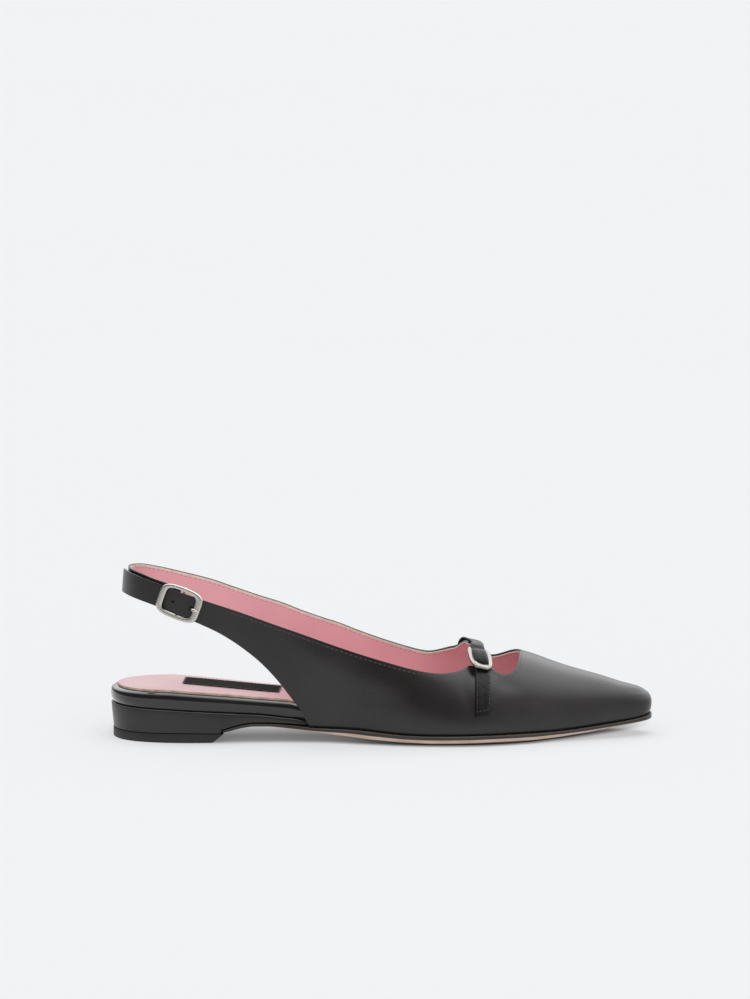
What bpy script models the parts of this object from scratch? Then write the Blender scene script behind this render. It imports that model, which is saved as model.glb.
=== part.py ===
"""A right slingback shoe with a low heel, worked out from one shoe last.

Toe towards +X, lateral side towards -Y, the floor at Z = 0. Tables are in millimetres.
"""
import math
from collections import namedtuple

import bmesh
import bpy
import numpy as np
from mathutils import Matrix, Vector

MM = 0.001
OBJECT_NAME = "slingback_shoe"

# Driving sizes, millimetres
WALL = 1.6
GAP = 0.35
SOLE_REACH = 0.6
INSOLE_INSET = 2.2
SOCK_THICKNESS = 1.0
SOCK_INSET = 2.4
LIFT_HEIGHT = 4.3
LIFT_FRONT_TOP = -75.2
LIFT_FRONT_BOTTOM = -80.6
WEDGE_TIP = -35.4
BREAST = -75.6
TAIL_STAND_OFF = 2.3
EDGE_LEAST = 1.1
EDGE_STEP = 0.45
EDGE_BEVEL = 0.5
TREAD_INSET = 0.16
HEEL_INSET = 0.3
HEEL_TAPER = 1.1
HEEL_ROUND = 0.8
HEEL_ROUND_SHARE = 0.015
LIFT_INSET = 1.2
STRAP_WIDTH = 6.9
STRAP_THICKNESS = 1.5

# Mesh fineness
WALL_ROWS = 7
COLUMNS_PER_RIB = 2
VAMP_COLUMNS = 20
SOLE_RUNGS = 44
END_CLIP = 0.012
MERGE = 0.00002
SHARP_ANGLE = 40.0
SEARCH_STEPS = 1201

# The last: the plan points of each section's two edges and spine, the heights of its feather edge and ridge
Station = namedtuple("Station", "lateral_x lateral_y medial_x medial_y spine_x spine_y feather_z ridge_z "
                                "fullness bulge")
LAST_STATIONS = {
    "heel_back": (-123.4, 0.0, -123.4, 0.0, -98.0, 0.0, 24.0, 140.0, 2.4, 0.0),
    "heel_turn": (-116.0, -17.9, -116.0, 17.9, -98.0, 0.0, 24.0, 140.0, 2.4, 0.0),
    "heel_side": (-98.0, -25.4, -98.0, 25.4, -98.0, 0.0, 23.5, 140.0, 2.4, 0.5),
    "seat": (-70.0, -27.2, -70.0, 26.0, -70.0, 0.0, 17.0, 128.0, 2.4, 1.5),
    "shank": (-40.0, -26.8, -40.0, 24.0, -40.0, 0.5, 8.6, 108.0, 2.3, 2.5),
    "waist": (-15.0, -29.4, -15.0, 24.0, -15.0, 1.0, 7.4, 82.0, 2.2, 3.0),
    "waist_front": (10.0, -34.8, 10.0, 30.0, 10.0, 2.5, 5.6, 61.0, 2.1, 2.0),
    "ball_lateral": (30.0, -37.6, 30.0, 36.0, 30.0, 3.5, 5.4, 48.0, 2.05, 1.5),
    "ball_medial": (47.0, -36.4, 47.0, 38.0, 47.0, 4.0, 5.5, 42.4, 2.05, 1.2),
    "throat": (66.0, -31.0, 66.0, 35.0, 66.0, 4.0, 5.5, 40.4, 2.05, 1.0),
    "vamp": (85.0, -23.6, 85.0, 28.2, 85.0, 3.8, 5.7, 34.2, 2.1, 0.9),
    "toe_rear": (103.0, -16.3, 103.0, 20.6, 103.0, 3.4, 7.0, 29.0, 2.2, 0.8),
    "toe_side": (117.5, -10.2, 117.5, 15.2, 113.5, 3.1, 8.5, 26.1, 2.4, 0.7),
    "toe_corner": (127.2, -4.6, 127.2, 10.2, 118.6, 3.0, 10.0, 24.7, 2.5, 0.6),
    "toe_tip": (129.9, 2.9, 129.9, 2.9, 120.0, 3.0, 10.7, 24.2, 2.6, 0.5),
}

# The heel seat's outline, wider than the last behind the waist: lateral x, y, medial x, y
SEAT_STATIONS = {
    "heel_back": (-130.0, 0.0, -130.0, 0.0),
    "heel_turn": (-122.1, -19.1, -122.1, 19.1),
    "heel_side": (-103.0, -27.0, -103.0, 27.0),
    "seat": (-75.0, -26.6, -75.0, 25.8),
    "shank": (-40.0, -25.0, -40.0, 22.2),
}

# The upper's straps behind the quarters: each rib's lower and upper end, as distance round the last from the
# heel's back, and height
TAIL_RIBS = (
    (3.0, 70.2, 3.0, 81.0),
    (11.0, 69.8, 11.0, 80.6),
    (19.4, 68.6, 19.4, 79.5),
    (28.0, 66.6, 29.6, 77.1),
    (36.2, 63.6, 39.6, 73.8),
    (43.4, 60.9, 47.2, 71.2),
    (51.0, 57.8, 55.2, 68.4),
)
SLING_RIBS = (
    (-51.0, 57.8, -55.2, 71.8),
    (-43.4, 61.0, -47.2, 74.0),
    (-36.2, 63.8, -39.0, 76.1),
    (-28.0, 66.5, -29.6, 78.5),
    (-19.4, 68.2, -19.4, 80.6),
    (-10.0, 68.8, -10.0, 81.6),
    (0.0, 68.9, 0.0, 82.0),
    (10.0, 68.8, 10.0, 81.6),
    (19.4, 68.2, 19.4, 80.5),
    (28.0, 66.5, 29.6, 78.1),
    (37.8, 63.3, 42.0, 74.3),
)
# How far the tail stands off the sling that it overlaps, by distance from the heel's back
TAIL_STAND_OFF_ENDS = (52.0, 76.0)

# The upper's ribs: lower end x and height, upper end x and height; no lower height means the feather edge
LATERAL_RIBS = (
    (-76.7, 53.3, -71.0, 64.7),
    (-67.2, 47.0, -58.5, 60.1),
    (-57.7, 39.3, -48.0, 56.3),
    (-50.0, 31.2, -38.5, 53.0),
    (-43.4, 22.7, -30.5, 50.2),
    (-38.6, 15.4, -25.0, 48.3),
    (-34.8, None, -20.0, 46.6),
    (-22.0, None, -9.0, 43.1),
    (-7.0, None, 3.0, 39.6),
    (8.0, None, 14.0, 36.6),
    (19.0, None, 23.3, 34.7),
    (26.0, None, 29.0, 34.2),
    (33.0, None, 34.5, 34.5),
    (38.5, None, 38.8, 35.4),
    (42.5, None, 41.8, 36.6),
    (45.0, None, 44.4, 36.5),
    (49.5, None, 50.6, 36.1),
    (52.5, None, 53.2, 35.5),
    (56.0, None, 55.6, 33.9),
    (60.0, None, 58.6, 32.8),
    (64.0, None, 61.0, 32.8),
    (68.0, None, 63.1, 33.7),
    (72.0, None, 65.0, 35.9),
    (75.5, None, 66.3, 38.6),
)
MEDIAL_RIBS = (
    (-76.7, 53.3, -71.0, 68.1),
    (-67.2, 47.0, -58.5, 63.9),
    (-57.7, 39.3, -48.0, 60.7),
    (-50.0, 31.2, -38.5, 57.0),
    (-43.4, 22.7, -30.5, 54.2),
    (-38.6, 15.4, -25.0, 52.4),
    (-34.8, None, -20.0, 50.8),
    (-22.0, None, -9.0, 46.4),
    (-7.0, None, 3.0, 42.0),
    (6.0, None, 12.0, 39.0),
    (15.0, None, 19.0, 37.0),
    (21.0, None, 23.8, 36.4),
    (27.0, None, 28.7, 37.4),
    (32.0, None, 33.5, 39.0),
    (35.5, None, 36.6, 40.0),
    (38.0, None, 39.0, 41.8),
    (40.5, None, 41.2, 42.9),
    (44.0, None, 44.4, 42.4),
    (47.0, None, 46.6, 40.4),
    (49.5, None, 49.0, 37.4),
    (52.5, None, 52.0, 35.4),
    (56.5, None, 55.4, 35.2),
    (61.0, None, 59.2, 36.6),
    (66.0, None, 62.4, 38.2),
    (71.0, None, 64.9, 39.4),
    (75.5, None, 66.5, 40.1),
)
THROAT_RIB = (79.0, 67.3)

# Heights along the shoe: x, value
SOLE_UNDER = ((-75.6, 4.7), (-72.0, 5.5), (-67.0, 6.9), (-62.0, 7.7), (-53.0, 7.6), (-39.0, 5.9),
              (-20.0, 3.4), (-5.0, 1.6), (10.0, 0.5), (24.0, 0.0), (62.0, 0.0), (74.0, 0.5), (86.0, 1.6),
              (100.0, 3.2), (115.0, 5.4), (125.0, 7.0), (130.0, 7.8))
SOLE_BELLY = ((-62.0, 0.0), (-39.0, 0.5), (0.0, 1.2), (25.0, 1.7), (60.0, 2.1), (85.0, 1.2), (105.0, 0.8),
              (130.0, 0.0))
SOLE_SHANK_TOP = ((-75.6, 5.8), (-72.0, 7.0), (-67.0, 8.3), (-62.0, 9.1), (-53.0, 9.0), (-43.5, 8.5),
                  (-34.0, 7.7))
RIM_UNDER = ((-130.0, 17.0), (-102.0, 16.2), (-86.0, 15.3), (-74.0, 14.6), (-57.0, 13.6), (-40.0, 11.6),
             (-33.0, 9.6), (-24.0, 7.8))
RIM_TOP = ((-130.0, 23.4), (-101.0, 23.2), (-86.0, 22.1), (-72.0, 20.9), (-58.0, 19.6), (-43.5, 18.4),
           (-30.0, 15.6), (-15.0, 12.0), (0.0, 9.4), (20.0, 7.9), (47.0, 7.6), (85.0, 8.0), (105.0, 9.3),
           (130.0, 13.0))
# The rolled edge of the insole rim: inset, share of the rim's height
RIM_PROFILE = ((1.2, 0.0), (0.2, 0.3), (0.0, 0.62), (0.5, 0.88), (1.9, 1.0))
# The outsole's sides under the heel seat: x, lateral y, medial y; and where they pass into the last
SEAT_SOLE = ((-80.0, -24.6, 23.6), (-40.0, -25.4, 22.6))
SEAT_SOLE_ENDS = (-46.0, -34.0)

# Buckles: length and width of the frame, window length and width, frame thickness, bar radius
HEEL_FRAME = (21.4, 15.8, 14.8, 11.6, 2.0, 0.75)
INSTEP_FRAME = (15.4, 12.0, 11.0, 8.2, 1.6, 0.65)
FRAME_SQUARENESS = 5.0
FRAME_POINTS = 40
POST_FOOT = 1.4
POST_STOUT = 1.15
HEEL_FRAME_LIFT = 0.9
INSTEP_FRAME_LIFT = 0.7
ROD_SEGMENTS = 10
HEEL_BARS = (31.8, 51.0)
HEEL_BAR_TURN = 41.8
HEEL_FRAME_RAISE = 0.5
PRONG_RADIUS = 0.6
PRONG_HOLE = 5.8
PRONG_HOLE_RADIUS = 1.9
PRONG_HOLE_REACH = 4.0
PRONG_BEND = (1.6, 1.4)
PRONG_DEPTH = 0.9
PRONG_TIP_MARGIN = 0.6
INSTEP_BUCKLE_RISE = (48.5, 68.5)
STRAP_MEDIAL_END = 33.0
STRAP_TAIL_END = 14.8
STRAP_ROWS = 30
STRAP_DRIFT = ((-26.0, 48.3), (22.0, 40.6))

# Finishes: colour, roughness, metallic
FINISHES = {
    "upper_leather": ((0.020, 0.019, 0.019), 0.38, 0.0),
    "strap_leather": ((0.018, 0.018, 0.018), 0.30, 0.0),
    "sole_leather": ((0.420, 0.330, 0.270), 0.60, 0.0),
    "heel_leather": ((0.016, 0.015, 0.015), 0.35, 0.0),
    "lift_rubber": ((0.014, 0.014, 0.014), 0.70, 0.0),
    "patent_leather": ((0.012, 0.011, 0.011), 0.12, 0.0),
    "sock_leather": ((0.720, 0.480, 0.470), 0.55, 0.0),
    "nickel": ((0.720, 0.700, 0.650), 0.20, 1.0),
}


def clear_scene():
    """Remove every object that the scene starts with."""
    for item in list(bpy.data.objects):
        bpy.data.objects.remove(item, do_unlink=True)


def make_collection(name):
    """Make a collection in the scene."""
    group = bpy.data.collections.new(name)
    bpy.context.scene.collection.children.link(group)
    return group


def make_finish(name):
    """Make the material of one finish."""
    colour, roughness, metallic = FINISHES[name]
    material = bpy.data.materials.get(name) or bpy.data.materials.new(name)
    material.use_nodes = True
    shader = material.node_tree.nodes["Principled BSDF"]
    shader.inputs["Base Color"].default_value = (*colour, 1.0)
    shader.inputs["Roughness"].default_value = roughness
    shader.inputs["Metallic"].default_value = metallic
    material.diffuse_color = (*colour, 1.0)
    return material


class ClosedCurve:
    """A smooth closed curve through rows of values, read by its turn: 0 at the heel's back, 1 at the toe."""

    def __init__(self, lateral, medial):
        """Join the lateral rows, heel to toe, with the medial rows; the first and last rows are shared."""
        lateral = np.array(lateral, float)
        medial = np.array(medial, float)
        sides = [np.linalg.norm(np.diff(rows[:, :2], axis=0), axis=1) for rows in (lateral, medial)]
        steps = 0.5 * (sides[0] + sides[1])
        self.half_length = steps.sum()
        knots = np.concatenate([[0.0], np.cumsum(steps)]) / self.half_length
        self.turns = np.concatenate([-knots[:0:-1], knots[:-1]])
        self.values = np.concatenate([medial[:0:-1], lateral[:-1]])
        self.gaps = np.diff(np.append(self.turns, self.turns[0] + 2.0))
        self.slopes = self._slopes()

    def _slopes(self):
        """Slopes at the rows that keep the curvature even across them."""
        count = len(self.turns)
        system = np.zeros((count, count))
        right = np.zeros_like(self.values)
        for i in range(count):
            before, after = self.gaps[i - 1], self.gaps[i]
            last, following = (i - 1) % count, (i + 1) % count
            system[i, last] += after
            system[i, i] += 2.0 * (before + after)
            system[i, following] += before
            rise_before = (self.values[i] - self.values[last]) / before
            rise_after = (self.values[following] - self.values[i]) / after
            right[i] = 3.0 * (after * rise_before + before * rise_after)
        return np.linalg.solve(system, right)

    def at(self, turn):
        """Rows of values at these turns."""
        turn = np.atleast_1d(np.asarray(turn, float))
        wrapped = self.turns[0] + np.mod(turn - self.turns[0], 2.0)
        index = np.clip(np.searchsorted(self.turns, wrapped, side="right") - 1, 0, len(self.turns) - 1)
        following = (index + 1) % len(self.turns)
        gap = self.gaps[index][:, None]
        u = (wrapped - self.turns[index])[:, None] / gap
        start, end = self.values[index], self.values[following]
        rise_start, rise_end = self.slopes[index] * gap, self.slopes[following] * gap
        return ((2 * u**3 - 3 * u**2 + 1) * start + (u**3 - 2 * u**2 + u) * rise_start
                + (3 * u**2 - 2 * u**3) * end + (u**3 - u**2) * rise_end)

    def outward(self, turn):
        """Unit directions out of the curve in plan."""
        step = 0.0001
        along = self.at(turn + step)[:, :2] - self.at(turn - step)[:, :2]
        along /= np.linalg.norm(along, axis=1)[:, None]
        return np.stack([along[:, 1], -along[:, 0]], axis=1)

    def inset(self, turn, distance):
        """Plan points of the curve moved inwards by a distance."""
        return self.at(turn)[:, :2] - self.outward(turn) * distance


def last_rows(side):
    """The rows of the last on one side: edge, spine, heights, fullness and bulge."""
    rows = []
    for values in LAST_STATIONS.values():
        station = Station(*values)
        x, y = station.medial_x, station.medial_y
        if side == "lateral":
            x, y = station.lateral_x, station.lateral_y
        rows.append([x, y, station.spine_x, station.spine_y, station.feather_z, station.ridge_z,
                     station.fullness, station.bulge])
    return rows


LAST = ClosedCurve(last_rows("lateral"), last_rows("medial"))


def insole_curve():
    """The insole's outline: the heel seat behind the waist, then the last less the wall."""
    rows = {"lateral": [], "medial": []}
    for name, turn in zip(LAST_STATIONS, LAST.turns[len(LAST_STATIONS) - 1:].tolist() + [1.0]):
        if name in SEAT_STATIONS:
            seat = SEAT_STATIONS[name]
            rows["lateral"].append(seat[:2])
            rows["medial"].append(seat[2:])
        else:
            rows["lateral"].append(LAST.inset(np.array([turn]), INSOLE_INSET)[0])
            rows["medial"].append(LAST.inset(np.array([-turn]), INSOLE_INSET)[0])
    return ClosedCurve(rows["lateral"], rows["medial"])


INSOLE = insole_curve()


def last_point(turn, rise):
    """Points of the last's skin: rise 0 is the feather edge, a quarter turn is the ridge."""
    turn = np.atleast_1d(np.asarray(turn, float))
    rise = np.clip(np.atleast_1d(np.asarray(rise, float)), 0.0, math.pi / 2)
    row = LAST.at(turn)
    edge, spine = row[:, 0:2], row[:, 2:4]
    feather, ridge, fullness, bulge = row[:, 4], row[:, 5], row[:, 6], row[:, 7]
    out = np.cos(rise) ** (2.0 / fullness)
    up = np.sin(rise) ** (2.0 / fullness)
    plan = spine + (edge - spine) * out[:, None]
    plan += LAST.outward(turn) * (bulge * np.sin(2.0 * rise))[:, None]
    return np.column_stack([plan, feather + (ridge - feather) * up])


def rise_at(turn, height):
    """Rise of the last's skin at a height."""
    row = LAST.at(turn)
    share = np.clip((height - row[:, 4]) / (row[:, 5] - row[:, 4]), 0.0, 1.0)
    return np.arcsin(share ** (row[:, 6] / 2.0))


def find_on_last(side, x, height):
    """Turn and rise of the skin at a length and height; side is 1 lateral or -1 medial."""
    turns = np.linspace(0.0, 1.0, SEARCH_STEPS) * side
    rises = rise_at(turns, height) if height is not None else np.zeros_like(turns)
    lengths = np.maximum.accumulate(last_point(turns, rises)[:, 0])
    turn = side * np.interp(x, lengths, np.abs(turns))
    rise = rise_at(np.array([turn]), height)[0] if height is not None else 0.0
    return turn, rise


def smooth_rows(rows, copies):
    """Rows with more rows between them, on a smooth curve through all of them."""
    rows = np.array(rows, float)
    padded = np.vstack([2 * rows[0] - rows[1], rows, 2 * rows[-1] - rows[-2]])
    result = []
    for i in range(1, len(padded) - 2):
        before, start, end, after = padded[i - 1:i + 3]
        for u in np.arange(copies) / copies:
            slope = end - before
            bend = 2 * before - 5 * start + 4 * end - after
            twist = 3 * start - before - 3 * end + after
            result.append(0.5 * (2 * start + slope * u + bend * u**2 + twist * u**3))
    result.append(rows[-1])
    return np.array(result)


def rib_rows(side):
    """Lower turn and rise, upper turn and rise of a side's ribs, from its strap's end to the throat."""
    sign = 1.0 if side == "lateral" else -1.0
    straps = TAIL_RIBS if side == "lateral" else SLING_RIBS[::-1]
    rows = []
    for low_distance, low_z, high_distance, high_z in straps:
        turns = np.array([low_distance, high_distance]) / LAST.half_length
        rises = rise_at(turns, np.array([low_z, high_z]))
        rows.append((turns[0], rises[0], turns[1], rises[1]))
    for low_x, low_z, high_x, high_z in (LATERAL_RIBS if side == "lateral" else MEDIAL_RIBS):
        rows.append((*find_on_last(sign, low_x, low_z), *find_on_last(sign, high_x, high_z)))
    low_turn = find_on_last(sign, THROAT_RIB[0], None)[0]
    ridge_turn = sign * np.interp(THROAT_RIB[1], LAST.values[len(LAST_STATIONS) - 1:, 2],
                                  LAST.turns[len(LAST_STATIONS) - 1:])
    rows.append((low_turn, 0.0, ridge_turn, math.pi / 2))
    return smooth_rows(rows, COLUMNS_PER_RIB)


def vamp_rows(first):
    """Ribs from the throat's middle to the toe's tip, ending on the ridge."""
    share = np.linspace(0.0, 1.0, VAMP_COLUMNS + 1)[1:]
    end = math.copysign(1.0, first[0])
    low = first[0] + (end - first[0]) * share
    high = first[2] + (end - first[2]) * share
    return np.column_stack([low, np.zeros_like(low), high, np.full_like(high, math.pi / 2)])


def wall_grid(side):
    """Points of the upper's outer face on one side, a column for each rib."""
    ribs = rib_rows(side)
    ribs = np.vstack([ribs, vamp_rows(ribs[-1])])
    share = np.linspace(0.0, 1.0, WALL_ROWS + 1)
    columns = []
    for low_turn, low_rise, high_turn, high_rise in ribs:
        turn = low_turn + (high_turn - low_turn) * share
        rise = low_rise + (high_rise - low_rise) * share
        points = last_point(turn, rise)
        if side == "lateral":
            ease = np.interp(turn * LAST.half_length, TAIL_STAND_OFF_ENDS, (1.0, 0.0))
            stand = TAIL_STAND_OFF * ease * ease * (3.0 - 2.0 * ease)
            points[:, :2] += LAST.outward(turn) * stand[:, None]
        columns.append(points)
    return np.array(columns)


def add_mesh(name, verts, faces, finish, group):
    """Make a mesh object from points in millimetres and faces."""
    mesh = bpy.data.meshes.new(name)
    mesh.from_pydata([tuple(float(c) * MM for c in p) for p in verts], [], faces)
    work = bmesh.new()
    work.from_mesh(mesh)
    bmesh.ops.remove_doubles(work, verts=work.verts, dist=MERGE)
    bmesh.ops.recalc_face_normals(work, faces=work.faces)
    work.to_mesh(mesh)
    work.free()
    mesh.shade_smooth()
    mesh.set_sharp_from_angle(angle=math.radians(SHARP_ANGLE))
    item = bpy.data.objects.new(name, mesh)
    item.data.materials.append(make_finish(finish))
    group.objects.link(item)
    return item


def grid_faces(columns, rows, first=0, flip=False):
    """Quads between the points of a grid that is stored column by column."""
    faces = []
    for i in range(columns - 1):
        for j in range(rows - 1):
            a = first + i * rows + j
            quad = (a, a + rows, a + rows + 1, a + 1)
            faces.append(quad[::-1] if flip else quad)
    return faces


def add_solidify(item, thickness, offset):
    """Give an open skin its thickness."""
    shell = item.modifiers.new("thickness", "SOLIDIFY")
    shell.thickness = thickness * MM
    shell.offset = offset
    shell.use_even_offset = True
    shell.use_quality_normals = True


def add_cut(item, cutter):
    """Cut one object with another."""
    cut = item.modifiers.new(cutter.name, "BOOLEAN")
    cut.operation = "DIFFERENCE"
    cut.object = cutter


def loft(name, loops, finish, group):
    """A closed solid through loops of the same number of points, with flat ends."""
    count = len(loops[0])
    verts = [point for loop in loops for point in loop]
    faces = [tuple(range(count))]
    for i in range(len(loops) - 1):
        for j in range(count):
            k = (j + 1) % count
            faces.append((i * count + j, (i + 1) * count + j, (i + 1) * count + k, i * count + k))
    faces.append(tuple(range((len(loops) - 1) * count, len(loops) * count))[::-1])
    return add_mesh(name, verts, faces, finish, group)


def along(table, x):
    """Value of a table of lengths and values at a length."""
    rows = np.array(table)
    return float(np.interp(x, rows[:, 0], rows[:, 1]))


def turn_of(curve, x):
    """Share of the way from heel to toe at which the lateral side of a curve reaches a length."""
    turns = np.linspace(0.0, 1.0, SEARCH_STEPS)
    return float(np.interp(x, np.maximum.accumulate(curve.at(turns)[:, 0]), turns))


def rungs(start, end, count):
    """Shares of the way along the shoe, closer together at the two ends."""
    return start + (end - start) * 0.5 * (1.0 - np.cos(np.linspace(0.0, math.pi, count)))


def across(curve, share, inset):
    """Lateral and medial plan points of a rung."""
    return (curve.inset(np.array([share]), inset)[0], curve.inset(np.array([-share]), inset)[0])


def between(lateral, medial, share):
    """Plan point a share of the way across a rung."""
    return lateral + (medial - lateral) * share


def sole_top(x):
    """Height of the outsole's top edge."""
    if x < SOLE_SHANK_TOP[-1][0]:
        return along(SOLE_SHANK_TOP, x)
    turn = turn_of(LAST, x)
    return float(LAST.at(np.array([turn]))[0, 4]) - GAP


def sole_outline(share):
    """Lateral and medial plan points of the outsole, on the heel seat behind the waist."""
    lateral, medial = across(LAST, share, -SOLE_REACH)
    blend = float(np.interp(0.5 * (lateral[0] + medial[0]), SEAT_SOLE_ENDS, (0.0, 1.0)))
    seat = np.array(SEAT_SOLE)
    seat_lateral = np.array([lateral[0], np.interp(lateral[0], seat[:, 0], seat[:, 1])])
    seat_medial = np.array([medial[0], np.interp(medial[0], seat[:, 0], seat[:, 2])])
    return between(seat_lateral, lateral, blend), between(seat_medial, medial, blend)


def make_outsole(group):
    """The outsole, from the heel's breast to the toe: painted edge, bevel below it and a flat tread."""
    loops = []
    for share in rungs(turn_of(LAST, BREAST), 1.0 - END_CLIP, SOLE_RUNGS):
        lateral, medial = sole_outline(share)
        width = np.linalg.norm(medial - lateral)
        x = 0.5 * (lateral[0] + medial[0])
        top = sole_top(x)
        under = along(SOLE_UNDER, x)
        low_edge = min(under + along(SOLE_BELLY, x), top - EDGE_LEAST)
        step = low_edge + EDGE_STEP * (top - low_edge)
        in_lateral = between(lateral, medial, EDGE_BEVEL / width)
        in_medial = between(lateral, medial, 1.0 - EDGE_BEVEL / width)
        loops.append([(*lateral, top), (*lateral, step), (*in_lateral, low_edge),
                      (*between(lateral, medial, TREAD_INSET), under),
                      (*between(lateral, medial, 1.0 - TREAD_INSET), under),
                      (*in_medial, low_edge), (*medial, step), (*medial, top)])
    return loft("outsole", loops, "sole_leather", group)


def make_heel_block(group):
    """The heel block with its wedge, from the heel's back to the wedge's tip."""
    breast = turn_of(INSOLE, BREAST - 3.0 * GAP)
    tip = turn_of(INSOLE, WEDGE_TIP)
    wedge = turn_of(INSOLE, BREAST - GAP)
    shares = [*rungs(END_CLIP, breast, SOLE_RUNGS // 2), *np.linspace(wedge, tip, SOLE_RUNGS // 3)]
    loops = []
    for share in shares:
        lateral, medial = across(INSOLE, share, HEEL_INSET)
        x = 0.5 * (lateral[0] + medial[0])
        low = LIFT_HEIGHT + GAP if share <= breast else sole_top(x) + 2.0 * GAP
        taper = HEEL_TAPER if share <= breast else 0.0
        low_lateral, low_medial = across(INSOLE, share, HEEL_INSET + taper)
        high = along(RIM_UNDER, x) - GAP
        loops.append([(*low_lateral, low), (*low_medial, low), (*medial, high - HEEL_ROUND),
                      (*between(lateral, medial, 1.0 - HEEL_ROUND_SHARE), high),
                      (*between(lateral, medial, HEEL_ROUND_SHARE), high), (*lateral, high - HEEL_ROUND)])
    return loft("heel_block", loops, "heel_leather", group)


def make_top_lift(group):
    """The rubber top lift with its slanted front."""
    loops = []
    end = turn_of(INSOLE, LIFT_FRONT_BOTTOM)
    for share in rungs(END_CLIP, end, SOLE_RUNGS // 2):
        lateral, medial = across(INSOLE, share, LIFT_INSET)
        loops.append([(*lateral, 0.0), (*medial, 0.0), (*medial, LIFT_HEIGHT), (*lateral, LIFT_HEIGHT)])
    lateral, medial = across(INSOLE, turn_of(INSOLE, LIFT_FRONT_TOP), LIFT_INSET)
    low = loops[-1]
    for k in (0, 1):
        loops[-1][k] = (LIFT_FRONT_BOTTOM, *low[k][1:])
    loops[-1][2] = (LIFT_FRONT_TOP, medial[1], LIFT_HEIGHT)
    loops[-1][3] = (LIFT_FRONT_TOP, lateral[1], LIFT_HEIGHT)
    return loft("top_lift", loops, "lift_rubber", group)


def rim_under(x):
    """Height of the insole board's underside."""
    if x < RIM_UNDER[-1][0]:
        return along(RIM_UNDER, x)
    return sole_top(x) + GAP


def make_insole_rim(group):
    """The wrapped insole board with its rolled edge."""
    loops = []
    for share in rungs(END_CLIP, 1.0 - END_CLIP, SOLE_RUNGS):
        edge_lateral, edge_medial = across(INSOLE, share, 0.0)
        x = 0.5 * (edge_lateral[0] + edge_medial[0])
        low, high = rim_under(x), along(RIM_TOP, x)
        lateral_side = []
        medial_side = []
        for inset, part in RIM_PROFILE:
            lateral, medial = across(INSOLE, share, inset)
            lateral_side.append((*lateral, low + (high - low) * part))
            medial_side.append((*medial, low + (high - low) * part))
        loops.append(lateral_side + medial_side[::-1])
    return loft("insole_rim", loops, "patent_leather", group)


def make_insole_sock(group):
    """The pink sock on the insole board."""
    loops = []
    for share in rungs(END_CLIP, 1.0 - 2.0 * END_CLIP, SOLE_RUNGS):
        lateral, medial = across(INSOLE, share, SOCK_INSET)
        low = along(RIM_TOP, 0.5 * (lateral[0] + medial[0])) + GAP
        high = low + SOCK_THICKNESS
        loops.append([(*lateral, low), (*medial, low), (*medial, high), (*lateral, high)])
    return loft("insole_sock", loops, "sock_leather", group)


def make_upper(group):
    """The hollow upper: vamp, quarters, the lateral billet and the medial sling."""
    verts = []
    faces = []
    for side in ("lateral", "medial"):
        grid = wall_grid(side)
        faces += grid_faces(len(grid), WALL_ROWS + 1, len(verts), side == "medial")
        verts += grid.reshape(-1, 3).tolist()
    item = add_mesh("upper", verts, faces, "upper_leather", group)
    add_solidify(item, WALL, -1.0)
    return item


def strap_rows():
    """Side, rise and length of the instep strap's middle line, from the medial base to the tail's end."""
    base = find_on_last(-1.0, STRAP_DRIFT[1][1], STRAP_MEDIAL_END)[1]
    tail = find_on_last(1.0, STRAP_DRIFT[0][1], STRAP_TAIL_END)[1]
    swing = np.linspace(base, math.pi - tail, STRAP_ROWS)
    rows = []
    for angle in swing:
        side = -1.0 if angle <= math.pi / 2 else 1.0
        rise = min(angle, math.pi - angle)
        x = STRAP_DRIFT[1][1]
        for _ in range(3):
            turn = find_on_last(side, x, None)[0]
            x = along(STRAP_DRIFT, last_point(turn, rise)[0][1])
        rows.append((side, rise, x))
    return rows


def strap_skin(stand_off):
    """Grid of the instep strap's skin, three points across, a distance off the last."""
    grid = []
    for side, rise, x in strap_rows():
        row = []
        for place in (-0.5, 0.0, 0.5):
            turn = find_on_last(side, x + place * STRAP_WIDTH, None)[0]
            row.append(last_point(turn, rise)[0])
        grid.append(row)
    grid = np.array(grid)
    lengthwise = np.gradient(grid, axis=0)
    crosswise = np.gradient(grid, axis=1)
    normal = np.cross(lengthwise, crosswise)
    normal /= np.linalg.norm(normal, axis=2)[:, :, None]
    if normal[STRAP_ROWS // 3, 1, 2] < 0.0:
        normal = -normal
    return grid + normal * stand_off, normal


def make_instep_strap(group):
    """The instep strap, from the outside of the medial peak to the end of its tail on the lateral vamp."""
    skin, _ = strap_skin(GAP)
    faces = grid_faces(len(skin), 3)
    item = add_mesh("instep_strap", skin.reshape(-1, 3).tolist(), faces, "strap_leather", group)
    middle = item.data.polygons[len(item.data.polygons) // 3]
    add_solidify(item, STRAP_THICKNESS, 1.0 if middle.normal.z > 0 else -1.0)
    return item


def frame_matrix(start, end, outside, lift):
    """Place of a buckle: x along its strap from bar to bar, z out of the shoe, lifted off the strap."""
    x_axis = (Vector(end) - Vector(start)).normalized()
    z_axis = Vector(outside)
    z_axis = (z_axis - x_axis * z_axis.dot(x_axis)).normalized()
    y_axis = z_axis.cross(x_axis)
    place = Matrix((x_axis, y_axis, z_axis)).transposed().to_4x4()
    place.translation = ((Vector(start) + Vector(end)) * 0.5 + z_axis * lift) * MM
    return place


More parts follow.
